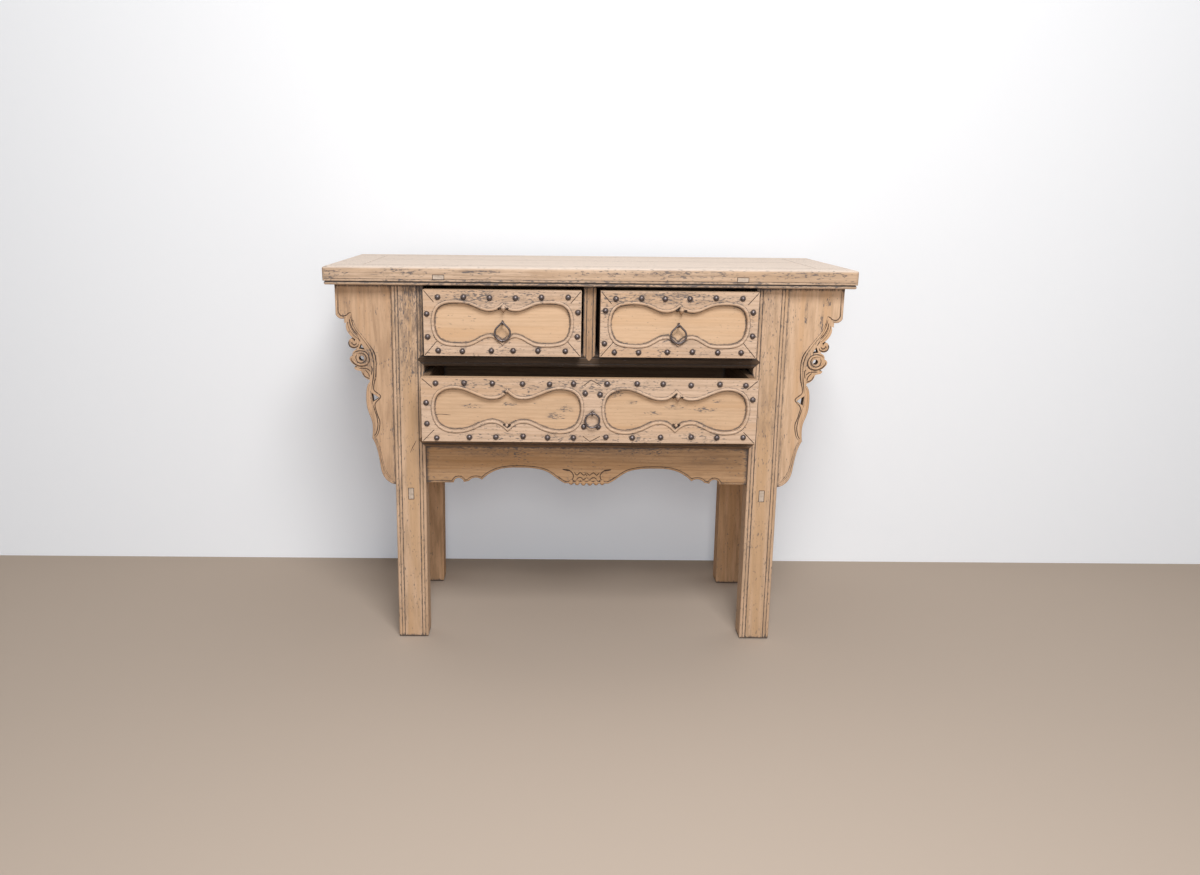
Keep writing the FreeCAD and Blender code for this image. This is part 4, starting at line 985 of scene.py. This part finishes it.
back_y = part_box("top_back_rail")[1].y - LONG_RAIL_WIDTH
front_y = top_low.y + LONG_RAIL_WIDTH
middle_y = front_y + FRONT_BOARD_WIDTH
seam_x = cad_bounds[1][0] - END_BOARD_WIDTH
edge_x = cad_bounds[1][0] - MOULDED_EDGE
seam_ends = [((-seam_x, front_y), (seam_x, front_y)), ((-seam_x, back_y), (seam_x, back_y)),
             ((-seam_x, front_y), (-seam_x, back_y)), ((seam_x, front_y), (seam_x, back_y)),
             ((seam_x, front_y), (edge_x, front_y)), ((seam_x, back_y), (edge_x, back_y)),
             ((-seam_x, front_y), (-edge_x, front_y)), ((-seam_x, back_y), (-edge_x, back_y)),
             ((-seam_x, middle_y), (seam_x, middle_y))]
seams = [stroke(ends, put=on_upper(top_high.z), **SEAM_LINE) for ends in seam_ends]
surface("top_seams", seams, cut_worn)
outlines = []
tenon_top = top_high.z - TENON_DROP
for name, side in SIDES.items():
    middle = side * BATTEN_MIDDLE
    outlines += rectangle(middle - TENON_WIDTH / 2, middle + TENON_WIDTH / 2, tenon_top - TENON_HEIGHT,
                          tenon_top, on_front(top_low.y))
    low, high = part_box(f"side_stretcher_{name}")
    outlines += rectangle(low.x + STRETCHER_MARGIN, high.x - STRETCHER_MARGIN, low.z + STRETCHER_MARGIN,
                          high.z - STRETCHER_MARGIN, on_front(leg_face))
outlines.append(stroke(LEG_CRACK, put=on_front(leg_face), **CRACK_LINE))
made = surface("tenon_outlines", outlines, cut_dark)
print(made.name, len(made.data.polygons), "faces")

# %% [markdown]
# Floor, backdrop and light
# The floor and the wall behind are plain and pale, and to the camera alone the wall looks a
# little whiter. One soft lamp hangs high in front, so the top is bright and the rails under the
# drawers lie in shade. A weaker lamp in front of the drawers and a dim sky fill the shadows.

# %% Stage
FLOOR_COLOUR = (0.50, 0.415, 0.345)
WALL_COLOUR = (0.86, 0.86, 0.86)
WALL_GLOW = (0.12, 0.14, 0.17)
REACH = 9.0
WALL_AWAY = 0.38
KEY = dict(place=(0.3, -2.35, 2.85), target=(0, 0, 0.5), size=1.1, power=79)
FILL = dict(place=(0.0, -3.2, 1.4), target=(0, 0, 0.4), size=0.8, power=26)
SEEN_SKY = dict(colour=(0.9, 0.9, 0.9), strength=1.0)
LIGHTING_SKY = dict(colour=(1.0, 1.0, 1.0), strength=0.2)


def floor_finish(name):
    """A matt even finish."""
    material, tree = new_material(name)
    principled(tree, ("Base Color", FLOOR_COLOUR), *MATTE)
    return material


def wall_finish(name):
    """Matt and even; its back shows what lies beyond, and its front looks whiter to the camera."""
    material, tree = new_material(name)
    to_camera = add(tree, "ShaderNodeLightPath").outputs["Is Camera Ray"]
    front = add(tree, "ShaderNodeBsdfPrincipled",
                [("Base Color", WALL_COLOUR), ("Emission Color", WALL_GLOW),
                 ("Emission Strength", to_camera), *MATTE])
    behind = add(tree, "ShaderNodeNewGeometry").outputs["Backfacing"]
    clear = add(tree, "ShaderNodeBsdfTransparent")
    mixed = add(tree, "ShaderNodeMixShader", [(0, behind), (1, front.outputs[0]), (2, clear.outputs[0])])
    add(tree, "ShaderNodeOutputMaterial", [(0, mixed.outputs[0])])
    return material


def stage_sheet(name, corners, material):
    """A flat sheet of the stage."""
    mesh = bpy.data.meshes.new(name)
    mesh.from_pydata(corners, [], [(0, 1, 2, 3)])
    mesh.materials.append(material)
    made = bpy.data.objects.new(name, mesh)
    bpy.context.scene.collection.objects.link(made)
    return made


floor = stage_sheet("floor", [(-REACH, -REACH, 0), (REACH, -REACH, 0), (REACH, REACH, 0),
                              (-REACH, REACH, 0)], floor_finish("floor"))
wall = stage_sheet("wall", [(-REACH, WALL_AWAY, 0), (REACH, WALL_AWAY, 0), (REACH, WALL_AWAY, REACH),
                            (-REACH, WALL_AWAY, REACH)], wall_finish("wall"))


def lamp(name, place, target, size, power):
    """A square soft lamp at a place, facing a target."""
    data = bpy.data.lights.new(name, "AREA")
    data.shape = "SQUARE"
    data.size = size
    data.energy = power
    made = bpy.data.objects.new(name, data)
    made.location = place
    made.rotation_euler = (Vector(target) - Vector(place)).to_track_quat("-Z", "Y").to_euler()
    bpy.context.scene.collection.objects.link(made)


def background(tree, colour, strength):
    """A sky of one colour."""
    return add(tree, "ShaderNodeBackground", [("Color", colour), ("Strength", strength)]).outputs[0]


lamp("key", **KEY)
lamp("fill", **FILL)
world = bpy.data.worlds.new("sky")
world.use_nodes = True
sky = world.node_tree
sky.nodes.clear()
seen = add(sky, "ShaderNodeLightPath").outputs
direct = math_node(sky, "MAXIMUM", seen["Is Camera Ray"], seen["Is Transmission Ray"])
direct = math_node(sky, "MAXIMUM", direct, seen["Is Glossy Ray"])
mixed_sky = add(sky, "ShaderNodeMixShader",
                [(0, direct), (1, background(sky, **LIGHTING_SKY)), (2, background(sky, **SEEN_SKY))])
add(sky, "ShaderNodeOutputWorld", [(0, mixed_sky.outputs[0])])
bpy.context.scene.world = world

scene = bpy.context.scene
scene.view_settings.view_transform = "Standard"
print("stage set")
